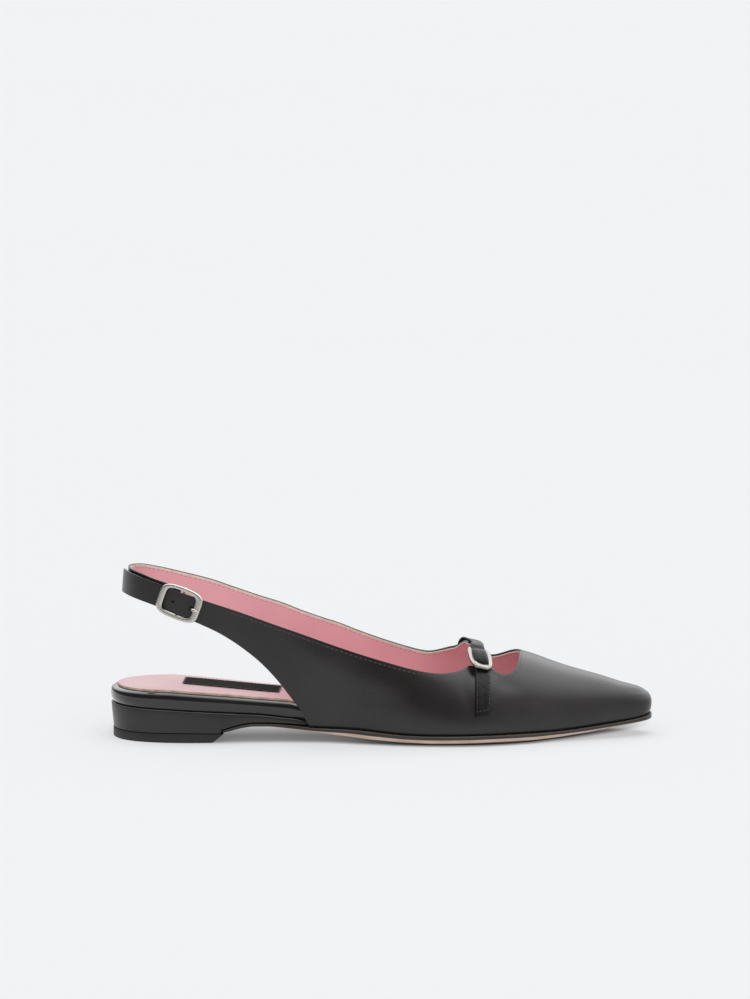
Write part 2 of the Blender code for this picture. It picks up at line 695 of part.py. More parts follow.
def frame_outline(curve, length, width):
    """Add a barrel-sided rounded rectangle to a flat curve."""
    spline = curve.splines.new("POLY")
    spline.points.add(FRAME_POINTS - 1)
    spline.use_cyclic_u = True
    power = 2.0 / FRAME_SQUARENESS
    for i, point in enumerate(spline.points):
        angle = 2.0 * math.pi * (i + 0.5) / FRAME_POINTS
        c, s = math.cos(angle), math.sin(angle)
        x = 0.5 * length * math.copysign(abs(c) ** power, c)
        y = 0.5 * width * math.copysign(abs(s) ** power, s)
        point.co = (x * MM, y * MM, 0.0, 1.0)


def make_rod(name, start, end, radius, group):
    """A cutter rod between two points of a buckle's own frame."""
    start, end = Vector(start) * MM, Vector(end) * MM
    work = bmesh.new()
    turn = (end - start).to_track_quat("Z", "Y").to_matrix().to_4x4()
    turn.translation = (start + end) * 0.5
    bmesh.ops.create_cone(work, cap_ends=True, segments=ROD_SEGMENTS, radius1=radius * MM,
                          radius2=radius * MM, depth=(end - start).length, matrix=turn)
    mesh = bpy.data.meshes.new(name)
    work.to_mesh(mesh)
    work.free()
    item = bpy.data.objects.new(name, mesh)
    item.hide_render = True
    item.display_type = "WIRE"
    group.objects.link(item)
    return item


def make_buckle(name, sizes, place, bar_drop, group, cutters):
    """A buckle's frame with its centre bar, which hangs on two posts below the strap."""
    length, width, window_length, window_width, thickness, bar_radius = sizes
    curve = bpy.data.curves.new(name, "CURVE")
    curve.dimensions = "2D"
    curve.fill_mode = "BOTH"
    curve.extrude = 0.5 * thickness * MM
    frame_outline(curve, length, width)
    frame_outline(curve, window_length, window_width)
    flat = bpy.data.objects.new(name + "_outline", curve)
    group.objects.link(flat)
    bpy.context.view_layer.update()
    mesh = bpy.data.meshes.new_from_object(flat.evaluated_get(bpy.context.evaluated_depsgraph_get()))
    bpy.data.objects.remove(flat, do_unlink=True)
    mesh.name = name
    work = bmesh.new()
    work.from_mesh(mesh)
    bmesh.ops.remove_doubles(work, verts=work.verts, dist=MERGE)
    bmesh.ops.recalc_face_normals(work, faces=work.faces)
    work.to_mesh(mesh)
    work.free()
    item = bpy.data.objects.new(name, mesh)
    item.matrix_world = place
    mesh.materials.clear()
    mesh.materials.append(make_finish("nickel"))
    group.objects.link(item)
    reach = 0.25 * (width + window_width)
    post_foot = bar_drop - POST_FOOT * bar_radius
    rods = [((0.0, -reach, bar_drop), (0.0, reach, bar_drop))]
    rods += [((0.0, side * reach, post_foot), (0.0, side * reach, 0.0)) for side in (-1.0, 1.0)]
    for i, (start, end) in enumerate(rods):
        radius = bar_radius if i == 0 else POST_STOUT * bar_radius
        rod = make_rod(f"{name}_rod_{i}", start, end, radius, cutters)
        rod.matrix_world = place
        join = item.modifiers.new(rod.name, "BOOLEAN")
        join.operation = "UNION"
        join.object = rod
    return item


def tail_middle(distance):
    """Point of the tail's outer face at its middle height, and the outward direction there."""
    rows = np.array(TAIL_RIBS)
    low = np.interp(distance, rows[:, 0], rows[:, 1])
    high = np.interp(distance, rows[:, 2], rows[:, 3])
    height = 0.5 * (low + high)
    turn = np.array([distance / LAST.half_length])
    point = last_point(turn, rise_at(turn, height))[0]
    upright = last_point(turn, rise_at(turn, height + 1.0))[0] - point
    out = LAST.outward(turn)[0]
    point[:2] += out * TAIL_STAND_OFF
    level = np.array([-out[1], out[0], 0.0])
    return point, np.cross(level, upright)


def make_heel_buckle(upper, group, cutters):
    """The heel buckle on the billet's tail, its prong, and the hole that the prong comes through."""
    start, _ = tail_middle(HEEL_BARS[0])
    end, _ = tail_middle(HEEL_BARS[1])
    middle, out = tail_middle(HEEL_BAR_TURN)
    thickness, bar_radius = HEEL_FRAME[4], HEEL_FRAME[5]
    place = frame_matrix(start, end, out, 0.5 * thickness + HEEL_FRAME_LIFT)
    place.translation += place.to_3x3() @ Vector((0.0, HEEL_FRAME_RAISE * MM, 0.0))
    local_middle = place.inverted() @ (Vector(middle) * MM)
    strap_out = local_middle.z / MM
    bar_drop = strap_out - WALL - GAP - bar_radius
    make_buckle("heel_buckle", HEEL_FRAME, place, bar_drop, group, cutters)
    tip_x = 0.5 * HEEL_FRAME[0] - PRONG_TIP_MARGIN
    top = 0.5 * thickness + GAP + PRONG_RADIUS
    route = ((bar_radius + GAP + PRONG_RADIUS, bar_drop), (PRONG_HOLE - PRONG_BEND[0], bar_drop),
             (PRONG_HOLE, strap_out - PRONG_DEPTH), (PRONG_HOLE + PRONG_BEND[1], top), (tip_x, top))
    curve = bpy.data.curves.new("heel_buckle_prong", "CURVE")
    curve.dimensions = "3D"
    curve.bevel_depth = PRONG_RADIUS * MM
    curve.bevel_resolution = 2
    curve.use_fill_caps = True
    spline = curve.splines.new("POLY")
    spline.points.add(len(route) - 1)
    for point, (x, z) in zip(spline.points, route):
        point.co = (x * MM, 0.0, z * MM, 1.0)
    prong = bpy.data.objects.new("heel_buckle_prong", curve)
    prong.matrix_world = place
    curve.materials.append(make_finish("nickel"))
    group.objects.link(prong)
    hole_ends = [(PRONG_HOLE, 0.0, strap_out + reach) for reach in (-PRONG_HOLE_REACH, PRONG_HOLE_REACH)]
    hole = make_rod("prong_hole", *hole_ends, PRONG_HOLE_RADIUS, cutters)
    hole.matrix_world = place
    add_cut(upper, hole)


def make_instep_buckle(group, cutters):
    """The small buckle of the instep strap, on the lateral slope of the instep."""
    skin, normal = strap_skin(GAP + STRAP_THICKNESS)
    rises = np.degrees([rise if side > 0 else math.pi - rise for side, rise, _ in strap_rows()])
    order = np.argsort(rises)
    low, high = INSTEP_BUCKLE_RISE
    middle = 0.5 * (low + high)
    picks = [[np.interp(value, rises[order], skin[order, 1, k]) for k in range(3)]
             for value in (high, low, middle)]
    out = [np.interp(middle, rises[order], normal[order, 1, k]) for k in range(3)]
    thickness, bar_radius = INSTEP_FRAME[4], INSTEP_FRAME[5]
    place = frame_matrix(picks[0], picks[1], out, 0.5 * thickness + INSTEP_FRAME_LIFT)
    strap_out = (place.inverted() @ (Vector(picks[2]) * MM)).z / MM
    bar_drop = strap_out - STRAP_THICKNESS - GAP - bar_radius
    make_buckle("instep_buckle", INSTEP_FRAME, place, bar_drop, group, cutters)


def main():
    """Build the shoe."""
    clear_scene()
    shoe = make_collection(OBJECT_NAME)
    cutters = make_collection("cutters")
    make_outsole(shoe)
    make_heel_block(shoe)
    make_top_lift(shoe)
    make_insole_rim(shoe)
    make_insole_sock(shoe)
    upper = make_upper(shoe)
    make_instep_strap(shoe)
    make_heel_buckle(upper, shoe, cutters)
    make_instep_buckle(shoe, cutters)


main()
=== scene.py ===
"""Looks of a right slingback shoe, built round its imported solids.

Toe towards +X, lateral side towards -Y, the floor at Z = 0. Tables and sizes are in millimetres.
"""

import logging
import math
from dataclasses import dataclass, field
from enum import Enum
from typing import Callable, Optional, Sequence

import bpy
import numpy as np
from mathutils import Matrix, Vector


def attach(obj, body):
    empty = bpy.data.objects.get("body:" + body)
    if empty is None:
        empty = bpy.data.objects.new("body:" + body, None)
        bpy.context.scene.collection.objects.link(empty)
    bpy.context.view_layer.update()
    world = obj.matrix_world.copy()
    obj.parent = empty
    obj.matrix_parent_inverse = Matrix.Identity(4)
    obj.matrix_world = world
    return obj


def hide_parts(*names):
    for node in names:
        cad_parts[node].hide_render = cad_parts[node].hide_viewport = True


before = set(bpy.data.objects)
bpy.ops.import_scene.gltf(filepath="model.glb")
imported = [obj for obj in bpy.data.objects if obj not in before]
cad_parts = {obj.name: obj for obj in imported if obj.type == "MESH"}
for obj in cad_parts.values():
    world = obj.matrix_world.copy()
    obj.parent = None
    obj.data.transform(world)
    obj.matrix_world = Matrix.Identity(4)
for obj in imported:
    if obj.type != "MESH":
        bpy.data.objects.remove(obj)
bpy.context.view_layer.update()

LOG = logging.getLogger("slingback_shoe")
MM = 0.001
TURN_STEPS = 1201
BAR_SIDES = 20
SEAM_MERGE = 0.004
SKIN_MERGE = 0.02
Piece = bpy.types.Object
Colour = tuple[float, float, float]


class Side(Enum):
    """The two sides of the shoe, with the sign of their turn round the last."""

    LATERAL = 1.0
    MEDIAL = -1.0


class Face(Enum):
    """The two faces of a sewn wall."""

    OUTER = 1.0
    INNER = -1.0


# Sizes of the solids
WALL = 1.6
GAP = 0.35
SOLE_REACH = 0.6
SOCK_THICKNESS = 1.0
SOCK_INSET = 2.4
LIFT_HEIGHT = 4.3
LIFT_FRONT_TOP = -75.2
LIFT_FRONT_BOTTOM = -80.6
WEDGE_TIP = -35.4
BREAST = -75.6
TAIL_STAND_OFF = 2.3
EDGE_LEAST = 1.1
EDGE_STEP = 0.45
EDGE_BEVEL = 0.5
TREAD_INSET = 0.16
HEEL_INSET = 0.3
HEEL_TAPER = 1.1
HEEL_ROUND = 0.8
LIFT_INSET = 1.2
STRAP_THICKNESS = 1.5

# The last: plan points of each section's lateral edge, medial edge and spine, feather height, ridge height,
# fullness and bulge
LAST_STATIONS = {
    "heel_back": (-123.4, 0.0, -123.4, 0.0, -98.0, 0.0, 24.0, 140.0, 2.4, 0.0),
    "heel_turn": (-116.0, -17.9, -116.0, 17.9, -98.0, 0.0, 24.0, 140.0, 2.4, 0.0),
    "heel_side": (-98.0, -25.4, -98.0, 25.4, -98.0, 0.0, 23.5, 140.0, 2.4, 0.5),
    "seat": (-70.0, -27.2, -70.0, 26.0, -70.0, 0.0, 17.0, 128.0, 2.4, 1.5),
    "shank": (-40.0, -26.8, -40.0, 24.0, -40.0, 0.5, 8.6, 108.0, 2.3, 2.5),
    "waist": (-15.0, -29.4, -15.0, 24.0, -15.0, 1.0, 7.4, 82.0, 2.2, 3.0),
    "waist_front": (10.0, -34.8, 10.0, 30.0, 10.0, 2.5, 5.6, 61.0, 2.1, 2.0),
    "ball_lateral": (30.0, -37.6, 30.0, 36.0, 30.0, 3.5, 5.4, 48.0, 2.05, 1.5),
    "ball_medial": (47.0, -36.4, 47.0, 38.0, 47.0, 4.0, 5.5, 42.4, 2.05, 1.2),
    "throat": (66.0, -31.0, 66.0, 35.0, 66.0, 4.0, 5.5, 40.4, 2.05, 1.0),
    "vamp": (85.0, -23.6, 85.0, 28.2, 85.0, 3.8, 5.7, 34.2, 2.1, 0.9),
    "toe_rear": (103.0, -16.3, 103.0, 20.6, 103.0, 3.4, 7.0, 29.0, 2.2, 0.8),
    "toe_side": (117.5, -10.2, 117.5, 15.2, 113.5, 3.1, 8.5, 26.1, 2.4, 0.7),
    "toe_corner": (127.2, -4.6, 127.2, 10.2, 118.6, 3.0, 10.0, 24.7, 2.5, 0.6),
    "toe_tip": (129.9, 2.9, 129.9, 2.9, 120.0, 3.0, 10.7, 24.2, 2.6, 0.5),
}

# The heel seat's outline, wider than the last behind the waist: lateral x, y, medial x, y
SEAT_STATIONS = {
    "heel_back": (-130.0, 0.0, -130.0, 0.0),
    "heel_turn": (-122.1, -19.1, -122.1, 19.1),
    "heel_side": (-103.0, -27.0, -103.0, 27.0),
    "seat": (-75.0, -26.6, -75.0, 25.8),
    "shank": (-40.0, -25.0, -40.0, 22.2),
}

# The upper's straps behind the quarters: each rib's lower and upper end, as distance round the last from the
# heel's back, and height
TAIL_RIBS = (
    (3.0, 70.2, 3.0, 81.0),
    (11.0, 69.8, 11.0, 80.6),
    (19.4, 68.6, 19.4, 79.5),
    (28.0, 66.6, 29.6, 77.1),
    (36.2, 63.6, 39.6, 73.8),
    (43.4, 60.9, 47.2, 71.2),
    (51.0, 57.8, 55.2, 68.4),
)
SLING_RIBS = (
    (-51.0, 57.8, -55.2, 71.8),
    (-43.4, 61.0, -47.2, 74.0),
    (-36.2, 63.8, -39.0, 76.1),
    (-28.0, 66.5, -29.6, 78.5),
    (-19.4, 68.2, -19.4, 80.6),
    (-10.0, 68.8, -10.0, 81.6),
    (0.0, 68.9, 0.0, 82.0),
    (10.0, 68.8, 10.0, 81.6),
    (19.4, 68.2, 19.4, 80.5),
    (28.0, 66.5, 29.6, 78.1),
    (37.8, 63.3, 42.0, 74.3),
)
# How far the tail stands off the sling that it overlaps, by distance from the heel's back
TAIL_STAND_OFF_ENDS = (52.0, 76.0)

# The upper's ribs: lower end x and height, upper end x and height; no lower height means the feather edge
LATERAL_RIBS = (
    (-76.7, 53.3, -71.0, 64.7),
    (-67.2, 47.0, -58.5, 60.1),
    (-57.7, 39.3, -48.0, 56.3),
    (-50.0, 31.2, -38.5, 53.0),
    (-43.4, 22.7, -30.5, 50.2),
    (-37.9, 15.4, -25.0, 48.3),
    (-33.4, None, -20.0, 46.6),
    (-22.0, None, -9.0, 43.1),
    (-7.0, None, 3.0, 39.6),
    (8.0, None, 14.0, 36.6),
    (19.0, None, 23.3, 34.7),
    (26.0, None, 29.0, 34.2),
    (33.0, None, 34.5, 34.5),
    (38.5, None, 38.8, 35.4),
    (42.5, None, 41.8, 36.6),
    (45.0, None, 44.4, 36.5),
    (49.5, None, 50.6, 36.1),
    (52.5, None, 53.2, 35.5),
    (56.0, None, 55.6, 33.9),
    (60.0, None, 58.6, 32.8),
    (64.0, None, 61.0, 32.8),
    (68.0, None, 63.1, 33.7),
    (72.0, None, 65.0, 35.9),
    (75.5, None, 66.3, 38.6),
)
MEDIAL_RIBS = (
    (-76.7, 53.3, -71.0, 68.1),
    (-67.2, 47.0, -58.5, 63.9),
    (-57.7, 39.3, -48.0, 60.7),
    (-50.0, 31.2, -38.5, 57.0),
    (-43.4, 22.7, -30.5, 54.2),
    (-38.6, 15.4, -25.0, 52.4),
    (-34.8, None, -20.0, 50.8),
    (-22.0, None, -9.0, 46.4),
    (-7.0, None, 3.0, 42.0),
    (6.0, None, 12.0, 39.0),
    (15.0, None, 19.0, 37.0),
    (21.0, None, 23.8, 36.4),
    (27.0, None, 28.7, 37.4),
    (32.0, None, 33.5, 39.0),
    (35.5, None, 36.6, 40.0),
    (38.0, None, 39.4, 42.4),
    (40.5, None, 42.0, 44.3),
    (44.0, None, 45.0, 43.6),
    (47.0, None, 47.0, 41.2),
    (49.5, None, 49.0, 37.4),
    (52.5, None, 52.0, 35.4),
    (56.5, None, 55.4, 35.2),
    (61.0, None, 59.2, 36.6),
    (66.0, None, 62.4, 38.2),
    (71.0, None, 64.9, 39.4),
    (75.5, None, 66.5, 40.1),
)
THROAT_RIB = (79.0, 67.3)

# Heights along the shoe: x, value
SOLE_UNDER = ((-75.6, 4.7), (-72.0, 5.5), (-67.0, 6.9), (-62.0, 7.7), (-53.0, 7.6), (-39.0, 5.9),
              (-20.0, 3.4), (-5.0, 1.6), (10.0, 0.5), (24.0, 0.0), (62.0, 0.0), (74.0, 0.5), (86.0, 1.6),
              (100.0, 3.2), (115.0, 5.4), (125.0, 7.0), (130.0, 7.8))
SOLE_BELLY = ((-62.0, 0.0), (-39.0, 0.5), (0.0, 1.2), (25.0, 1.7), (60.0, 2.1), (85.0, 1.2), (105.0, 0.8),
              (130.0, 0.0))
SOLE_SHANK_TOP = ((-75.6, 5.8), (-72.0, 7.0), (-67.0, 8.3), (-62.0, 9.1), (-53.0, 9.0), (-43.5, 8.5),
                  (-34.0, 7.7))
RIM_UNDER = ((-130.0, 17.0), (-102.0, 16.2), (-86.0, 15.3), (-74.0, 14.6), (-57.0, 13.6), (-40.0, 11.6),
             (-33.0, 9.6), (-24.0, 7.8))
RIM_TOP = ((-130.0, 23.4), (-101.0, 23.2), (-86.0, 22.1), (-72.0, 20.9), (-58.0, 19.6), (-43.5, 18.4),
           (-30.0, 15.6), (-15.0, 12.0), (0.0, 9.4), (20.0, 7.9), (47.0, 7.6), (85.0, 8.0), (105.0, 9.3),
           (130.0, 13.0))
# The rolled edge of the insole rim: inset, share of the rim's height
RIM_PROFILE = ((1.2, 0.0), (0.2, 0.3), (0.0, 0.62), (0.5, 0.88), (1.9, 1.0))
# The sock's edge: inset, share of the sock's thickness
SOCK_PROFILE = ((0.0, 0.0), (-0.05, 0.4), (0.0, 0.78), (0.14, 0.93), (0.45, 1.0), (1.6, 1.03), (5.0, 1.05))
# The outsole's sides under the heel seat: x, lateral y, medial y; and where they pass into the last
SEAT_SOLE = ((-80.0, -24.6, 23.6), (-40.0, -25.4, 22.6))
SEAT_SOLE_ENDS = (-46.0, -34.0)

# Buckles: length and width of the frame, window length and width, frame thickness, bar radius
HEEL_FRAME = (21.4, 15.8, 14.8, 11.6, 2.0, 0.75)
INSTEP_FRAME = (15.4, 12.0, 11.0, 8.2, 1.6, 0.65)
HEEL_FRAME_LIFT = 0.9
INSTEP_FRAME_LIFT = 0.7
HEEL_BARS = (31.8, 51.0)
HEEL_BAR_TURN = 41.8
HEEL_FRAME_RAISE = 0.5
PRONG_RADIUS = 0.6
PRONG_HOLE = 5.8
PRONG_BEND = (1.6, 1.4)
PRONG_DEPTH = 0.9
PRONG_TIP_MARGIN = 0.6
INSTEP_BUCKLE_RISE = (48.5, 68.5)
STRAP_MEDIAL_END = 33.0
STRAP_TAIL_END = 14.8
STRAP_DRIFT = ((-26.0, 48.3), (22.0, 40.6))


class ClosedCurve:
    """A smooth closed curve through rows of values, read by its turn: 0 at the heel's back, 1 at the toe."""

    def __init__(self, lateral: Sequence[Sequence[float]], medial: Sequence[Sequence[float]]) -> None:
        """Join the rows of the two sides.

        Args:
            lateral: rows from heel to toe on the lateral side.
            medial: rows from heel to toe on the medial side; its ends are the lateral ends.
        """
        near, far = np.array(lateral, float), np.array(medial, float)
        spans = [np.linalg.norm(np.diff(rows[:, :2], axis=0), axis=1) for rows in (near, far)]
        steps = 0.5 * (spans[0] + spans[1])
        self.half_length = float(steps.sum())
        knots = np.concatenate([[0.0], np.cumsum(steps)]) / self.half_length
        self.turns = np.concatenate([-knots[:0:-1], knots[:-1]])
        self.values = np.concatenate([far[:0:-1], near[:-1]])
        self.gaps = np.diff(np.append(self.turns, self.turns[0] + 2.0))
        self.slopes = self._slopes()

    def _slopes(self) -> np.ndarray:
        """Slopes at the rows that keep the curvature even across them."""
        count = len(self.turns)
        system = np.zeros((count, count))
        right = np.zeros_like(self.values)
        for i in range(count):
            before, after = self.gaps[i - 1], self.gaps[i]
            last, following = (i - 1) % count, (i + 1) % count
            system[i, last] += after
            system[i, i] += 2.0 * (before + after)
            system[i, following] += before
            rise_before = (self.values[i] - self.values[last]) / before
            rise_after = (self.values[following] - self.values[i]) / after
            right[i] = 3.0 * (after * rise_before + before * rise_after)
        return np.linalg.solve(system, right)

    def at(self, turn: np.ndarray) -> np.ndarray:
        """Rows of values at some turns.

        Args:
            turn: turns from -1 to 1.

        Returns:
            One row of values for each turn.
        """
        turn = np.atleast_1d(np.asarray(turn, float))
        wrapped = self.turns[0] + np.mod(turn - self.turns[0], 2.0)
        index = np.clip(np.searchsorted(self.turns, wrapped, side="right") - 1, 0, len(self.turns) - 1)
        following = (index + 1) % len(self.turns)
        gap = self.gaps[index][:, None]
        u = (wrapped - self.turns[index])[:, None] / gap
        start, end = self.values[index], self.values[following]
        rise_start, rise_end = self.slopes[index] * gap, self.slopes[following] * gap
        return ((2 * u**3 - 3 * u**2 + 1) * start + (u**3 - 2 * u**2 + u) * rise_start
                + (3 * u**2 - 2 * u**3) * end + (u**3 - u**2) * rise_end)

    def outward(self, turn: np.ndarray) -> np.ndarray:
        """Unit directions out of the curve in plan, one for each turn."""
        step = 0.0001
        ahead = unit(self.at(np.asarray(turn) + step)[:, :2] - self.at(np.asarray(turn) - step)[:, :2])
        return np.stack([ahead[:, 1], -ahead[:, 0]], axis=1)

    def inset(self, turn: np.ndarray, distance: float) -> np.ndarray:
        """Plan points of the curve moved inwards by a distance, one for each turn."""
        return self.at(turn)[:, :2] - self.outward(turn) * distance

    def turn_of(self, x: float) -> float:
        """Turn at which the lateral side reaches a length."""
        turns = np.linspace(0.0, 1.0, TURN_STEPS)
        return float(np.interp(x, np.maximum.accumulate(self.at(turns)[:, 0]), turns))


def along(table: Sequence[Sequence[float]], x: float, column: int = 1) -> float:
    """Value of a table at a length.

    Args:
        table: rows that start with a length.
        x: the length.
        column: which value of the rows.

    Returns:
        The value, in a straight line between two rows.
    """
    rows = np.array(table)
    return float(np.interp(x, rows[:, 0], rows[:, column]))


def smooth_rows(rows: Sequence[Sequence[float]], copies: int) -> np.ndarray:
    """Rows with more rows between them, on a smooth curve through all of them.

    Args:
        rows: the given rows.
        copies: how many rows each given row becomes.

    Returns:
        The finer rows, with the given ones among them.
    """
    given = np.array(rows, float)
    padded = np.vstack([2 * given[0] - given[1], given, 2 * given[-1] - given[-2]])
    result = []
    for i in range(1, len(padded) - 2):
        before, start, end, after = padded[i - 1:i + 3]
        slope = end - before
        bend = 2 * before - 5 * start + 4 * end - after
        twist = 3 * start - before - 3 * end + after
        for u in np.arange(copies) / copies:
            result.append(0.5 * (2 * start + slope * u + bend * u**2 + twist * u**3))
    result.append(given[-1])
    return np.array(result)


def unit(rows: np.ndarray) -> np.ndarray:
    """Rows of vectors made one long."""
    return rows / np.maximum(np.linalg.norm(rows, axis=-1, keepdims=True), 1e-9)


def soft_step(share: np.ndarray) -> np.ndarray:
    """A share from 0 to 1 that starts and ends without a corner."""
    return share * share * (3.0 - 2.0 * share)


def distances(line: np.ndarray) -> np.ndarray:
    """Distance of each point of a line from its start, along the line."""
    return np.concatenate([[0.0], np.cumsum(np.linalg.norm(np.diff(line, axis=0), axis=1))])


def rows_at(places: np.ndarray, lengths: np.ndarray, rows: np.ndarray) -> np.ndarray:
    """Rows of three values read at some places along a line.

    Args:
        places: distances from the line's start.
        lengths: distance of each row.
        rows: the rows.

    Returns:
        One row for each place.
    """
    return np.stack([np.interp(places, lengths, rows[:, k]) for k in range(3)], axis=-1)


@dataclass
class ShoeLast:
    """The last and the insole's outline, which every piece is worked out from."""

    insole_inset: float = 2.2
    skin: ClosedCurve = field(init=False)
    insole: ClosedCurve = field(init=False)

    def __post_init__(self) -> None:
        """Make the two closed curves from their tables."""
        rows = {side: [] for side in Side}
        for row in LAST_STATIONS.values():
            rows[Side.LATERAL].append([*row[0:2], *row[4:]])
            rows[Side.MEDIAL].append([*row[2:4], *row[4:]])
        self.skin = ClosedCurve(rows[Side.LATERAL], rows[Side.MEDIAL])
        seat = {side: [] for side in Side}
        turns = self.skin.turns[len(LAST_STATIONS) - 1:].tolist() + [1.0]
        for name, turn in zip(LAST_STATIONS, turns):
            if name in SEAT_STATIONS:
                seat[Side.LATERAL].append(SEAT_STATIONS[name][:2])
                seat[Side.MEDIAL].append(SEAT_STATIONS[name][2:])
            else:
                for side in Side:
                    seat[side].append(self.skin.inset(np.array([side.value * turn]), self.insole_inset)[0])
        self.insole = ClosedCurve(seat[Side.LATERAL], seat[Side.MEDIAL])

    def point(self, turn: np.ndarray, rise: np.ndarray) -> np.ndarray:
        """Points of the last's skin.

        Args:
            turn: turns round the last.
            rise: 0 at the feather edge, a quarter turn at the ridge.

        Returns:
            One point for each pair.
        """
        turn = np.atleast_1d(np.asarray(turn, float))
        rise = np.clip(np.atleast_1d(np.asarray(rise, float)), 0.0, math.pi / 2)
        row = self.skin.at(turn)
        edge, spine = row[:, 0:2], row[:, 2:4]
        feather, ridge, fullness, bulge = row[:, 4], row[:, 5], row[:, 6], row[:, 7]
        out = np.cos(rise) ** (2.0 / fullness)
        up = np.sin(rise) ** (2.0 / fullness)
        plan = spine + (edge - spine) * out[:, None]
        plan += self.skin.outward(turn) * (bulge * np.sin(2.0 * rise))[:, None]
        return np.column_stack([plan, feather + (ridge - feather) * up])

    def rise_at(self, turn: np.ndarray, height: np.ndarray) -> np.ndarray:
        """Rise of the skin at some turns and heights."""
        row = self.skin.at(turn)
        share = np.clip((height - row[:, 4]) / (row[:, 5] - row[:, 4]), 0.0, 1.0)
        return np.arcsin(share ** (row[:, 6] / 2.0))

    def find(self, side: Side, x: float, height: Optional[float]) -> tuple[float, float]:
        """Place on the skin at a length and height.

        Args:
            side: side of the shoe.
            x: the length.
            height: the height, or none for the feather edge.

        Returns:
            Turn and rise.
        """
        turns = np.linspace(0.0, 1.0, TURN_STEPS) * side.value
        rises = np.zeros_like(turns)
        if height is not None:
            rises = self.rise_at(turns, np.full_like(turns, height))
        lengths = np.maximum.accumulate(self.point(turns, rises)[:, 0])
        turn = side.value * float(np.interp(x, lengths, np.abs(turns)))
        rise = 0.0
        if height is not None:
            rise = float(self.rise_at(np.array([turn]), np.array([height]))[0])
        return turn, rise

    def feather_turn(self, side: Side, x: np.ndarray) -> np.ndarray:
        """Turns at which the feather edge of one side reaches some lengths."""
        turns = np.linspace(0.0, 1.0, TURN_STEPS) * side.value
        lengths = np.maximum.accumulate(self.skin.at(turns)[:, 0])
        return side.value * np.interp(x, lengths, np.abs(turns))

    def sole_top(self, x: float) -> float:
        """Height of the outsole's top edge at a length."""
        if x < SOLE_SHANK_TOP[-1][0]:
            return along(SOLE_SHANK_TOP, x)
        return float(self.skin.at(np.array([self.skin.turn_of(x)]))[0, 4]) - GAP

    def rim_under(self, x: float) -> float:
        """Height of the insole board's underside at a length."""
        if x < RIM_UNDER[-1][0]:
            return along(RIM_UNDER, x)
        return self.sole_top(x) + GAP


def deselect_all() -> None:
    """Leave nothing selected, in object mode."""
    if bpy.context.object and bpy.context.object.mode != "OBJECT":
        bpy.ops.object.mode_set(mode="OBJECT")
    bpy.ops.object.select_all(action="DESELECT")


def pick(item: Piece) -> None:
    """Make a piece the only one selected and active."""
    deselect_all()
    item.select_set(True)
    bpy.context.view_layer.objects.active = item


def named(name: str) -> Piece:
    """Name the active piece and its mesh."""
    item = bpy.context.object
    item.name = name
    item.data.name = name
    return item


def points_of(item: Piece) -> np.ndarray:
    """Vertex places of a piece, in metres."""
    flat = np.zeros(len(item.data.vertices) * 3)
    item.data.vertices.foreach_get("co", flat)
    return flat.reshape(-1, 3)


def set_points(item: Piece, points: np.ndarray) -> None:
    """Move a piece's vertices to places in metres."""
    item.data.vertices.foreach_set("co", np.asarray(points, float).ravel())
    item.data.update()


def edit_all(item: Piece, *steps: Callable[[], object]) -> None:
    """Run edit-mode operators on all of a piece.

    Args:
        item: the piece.
        steps: what to do, one after another, with everything selected.
    """
    pick(item)
    bpy.ops.object.mode_set(mode="EDIT")
    bpy.ops.mesh.select_all(action="SELECT")
    for step in steps:
        step()
    bpy.ops.object.mode_set(mode="OBJECT")


def apply_all(item: Piece) -> None:
    """Apply every modifier of a piece."""
    pick(item)
    for modifier in list(item.modifiers):
        bpy.ops.object.modifier_apply(modifier=modifier.name)


def smooth(item: Piece, degrees: float = 38.0) -> None:
    """Shade a piece smooth except across sharp edges."""
    pick(item)
    bpy.ops.object.shade_smooth_by_angle(angle=math.radians(degrees))


def add_bevel(item: Piece, width: float, segments: int, degrees: float = 50.0) -> None:
    """Round a piece's sharp edges by a width in millimetres."""
    bevel = item.modifiers.new("rounding", "BEVEL")
    bevel.width = width * MM
    bevel.segments = segments
    bevel.limit_method = "ANGLE"
    bevel.angle_limit = math.radians(degrees)


def sheet_piece(name: str, grid: np.ndarray) -> Piece:
    """An open skin: a flat grid moved onto rows of points.

    Args:
        name: name of the piece.
        grid: points by column and row, in millimetres.

    Returns:
        The piece.
    """
    columns, rows = grid.shape[:2]
    deselect_all()
    bpy.ops.mesh.primitive_grid_add(x_subdivisions=columns - 1, y_subdivisions=rows - 1, size=1.0)
    item = named(name)
    set_points(item, grid.transpose(1, 0, 2).reshape(-1, 3) * MM)
    return item


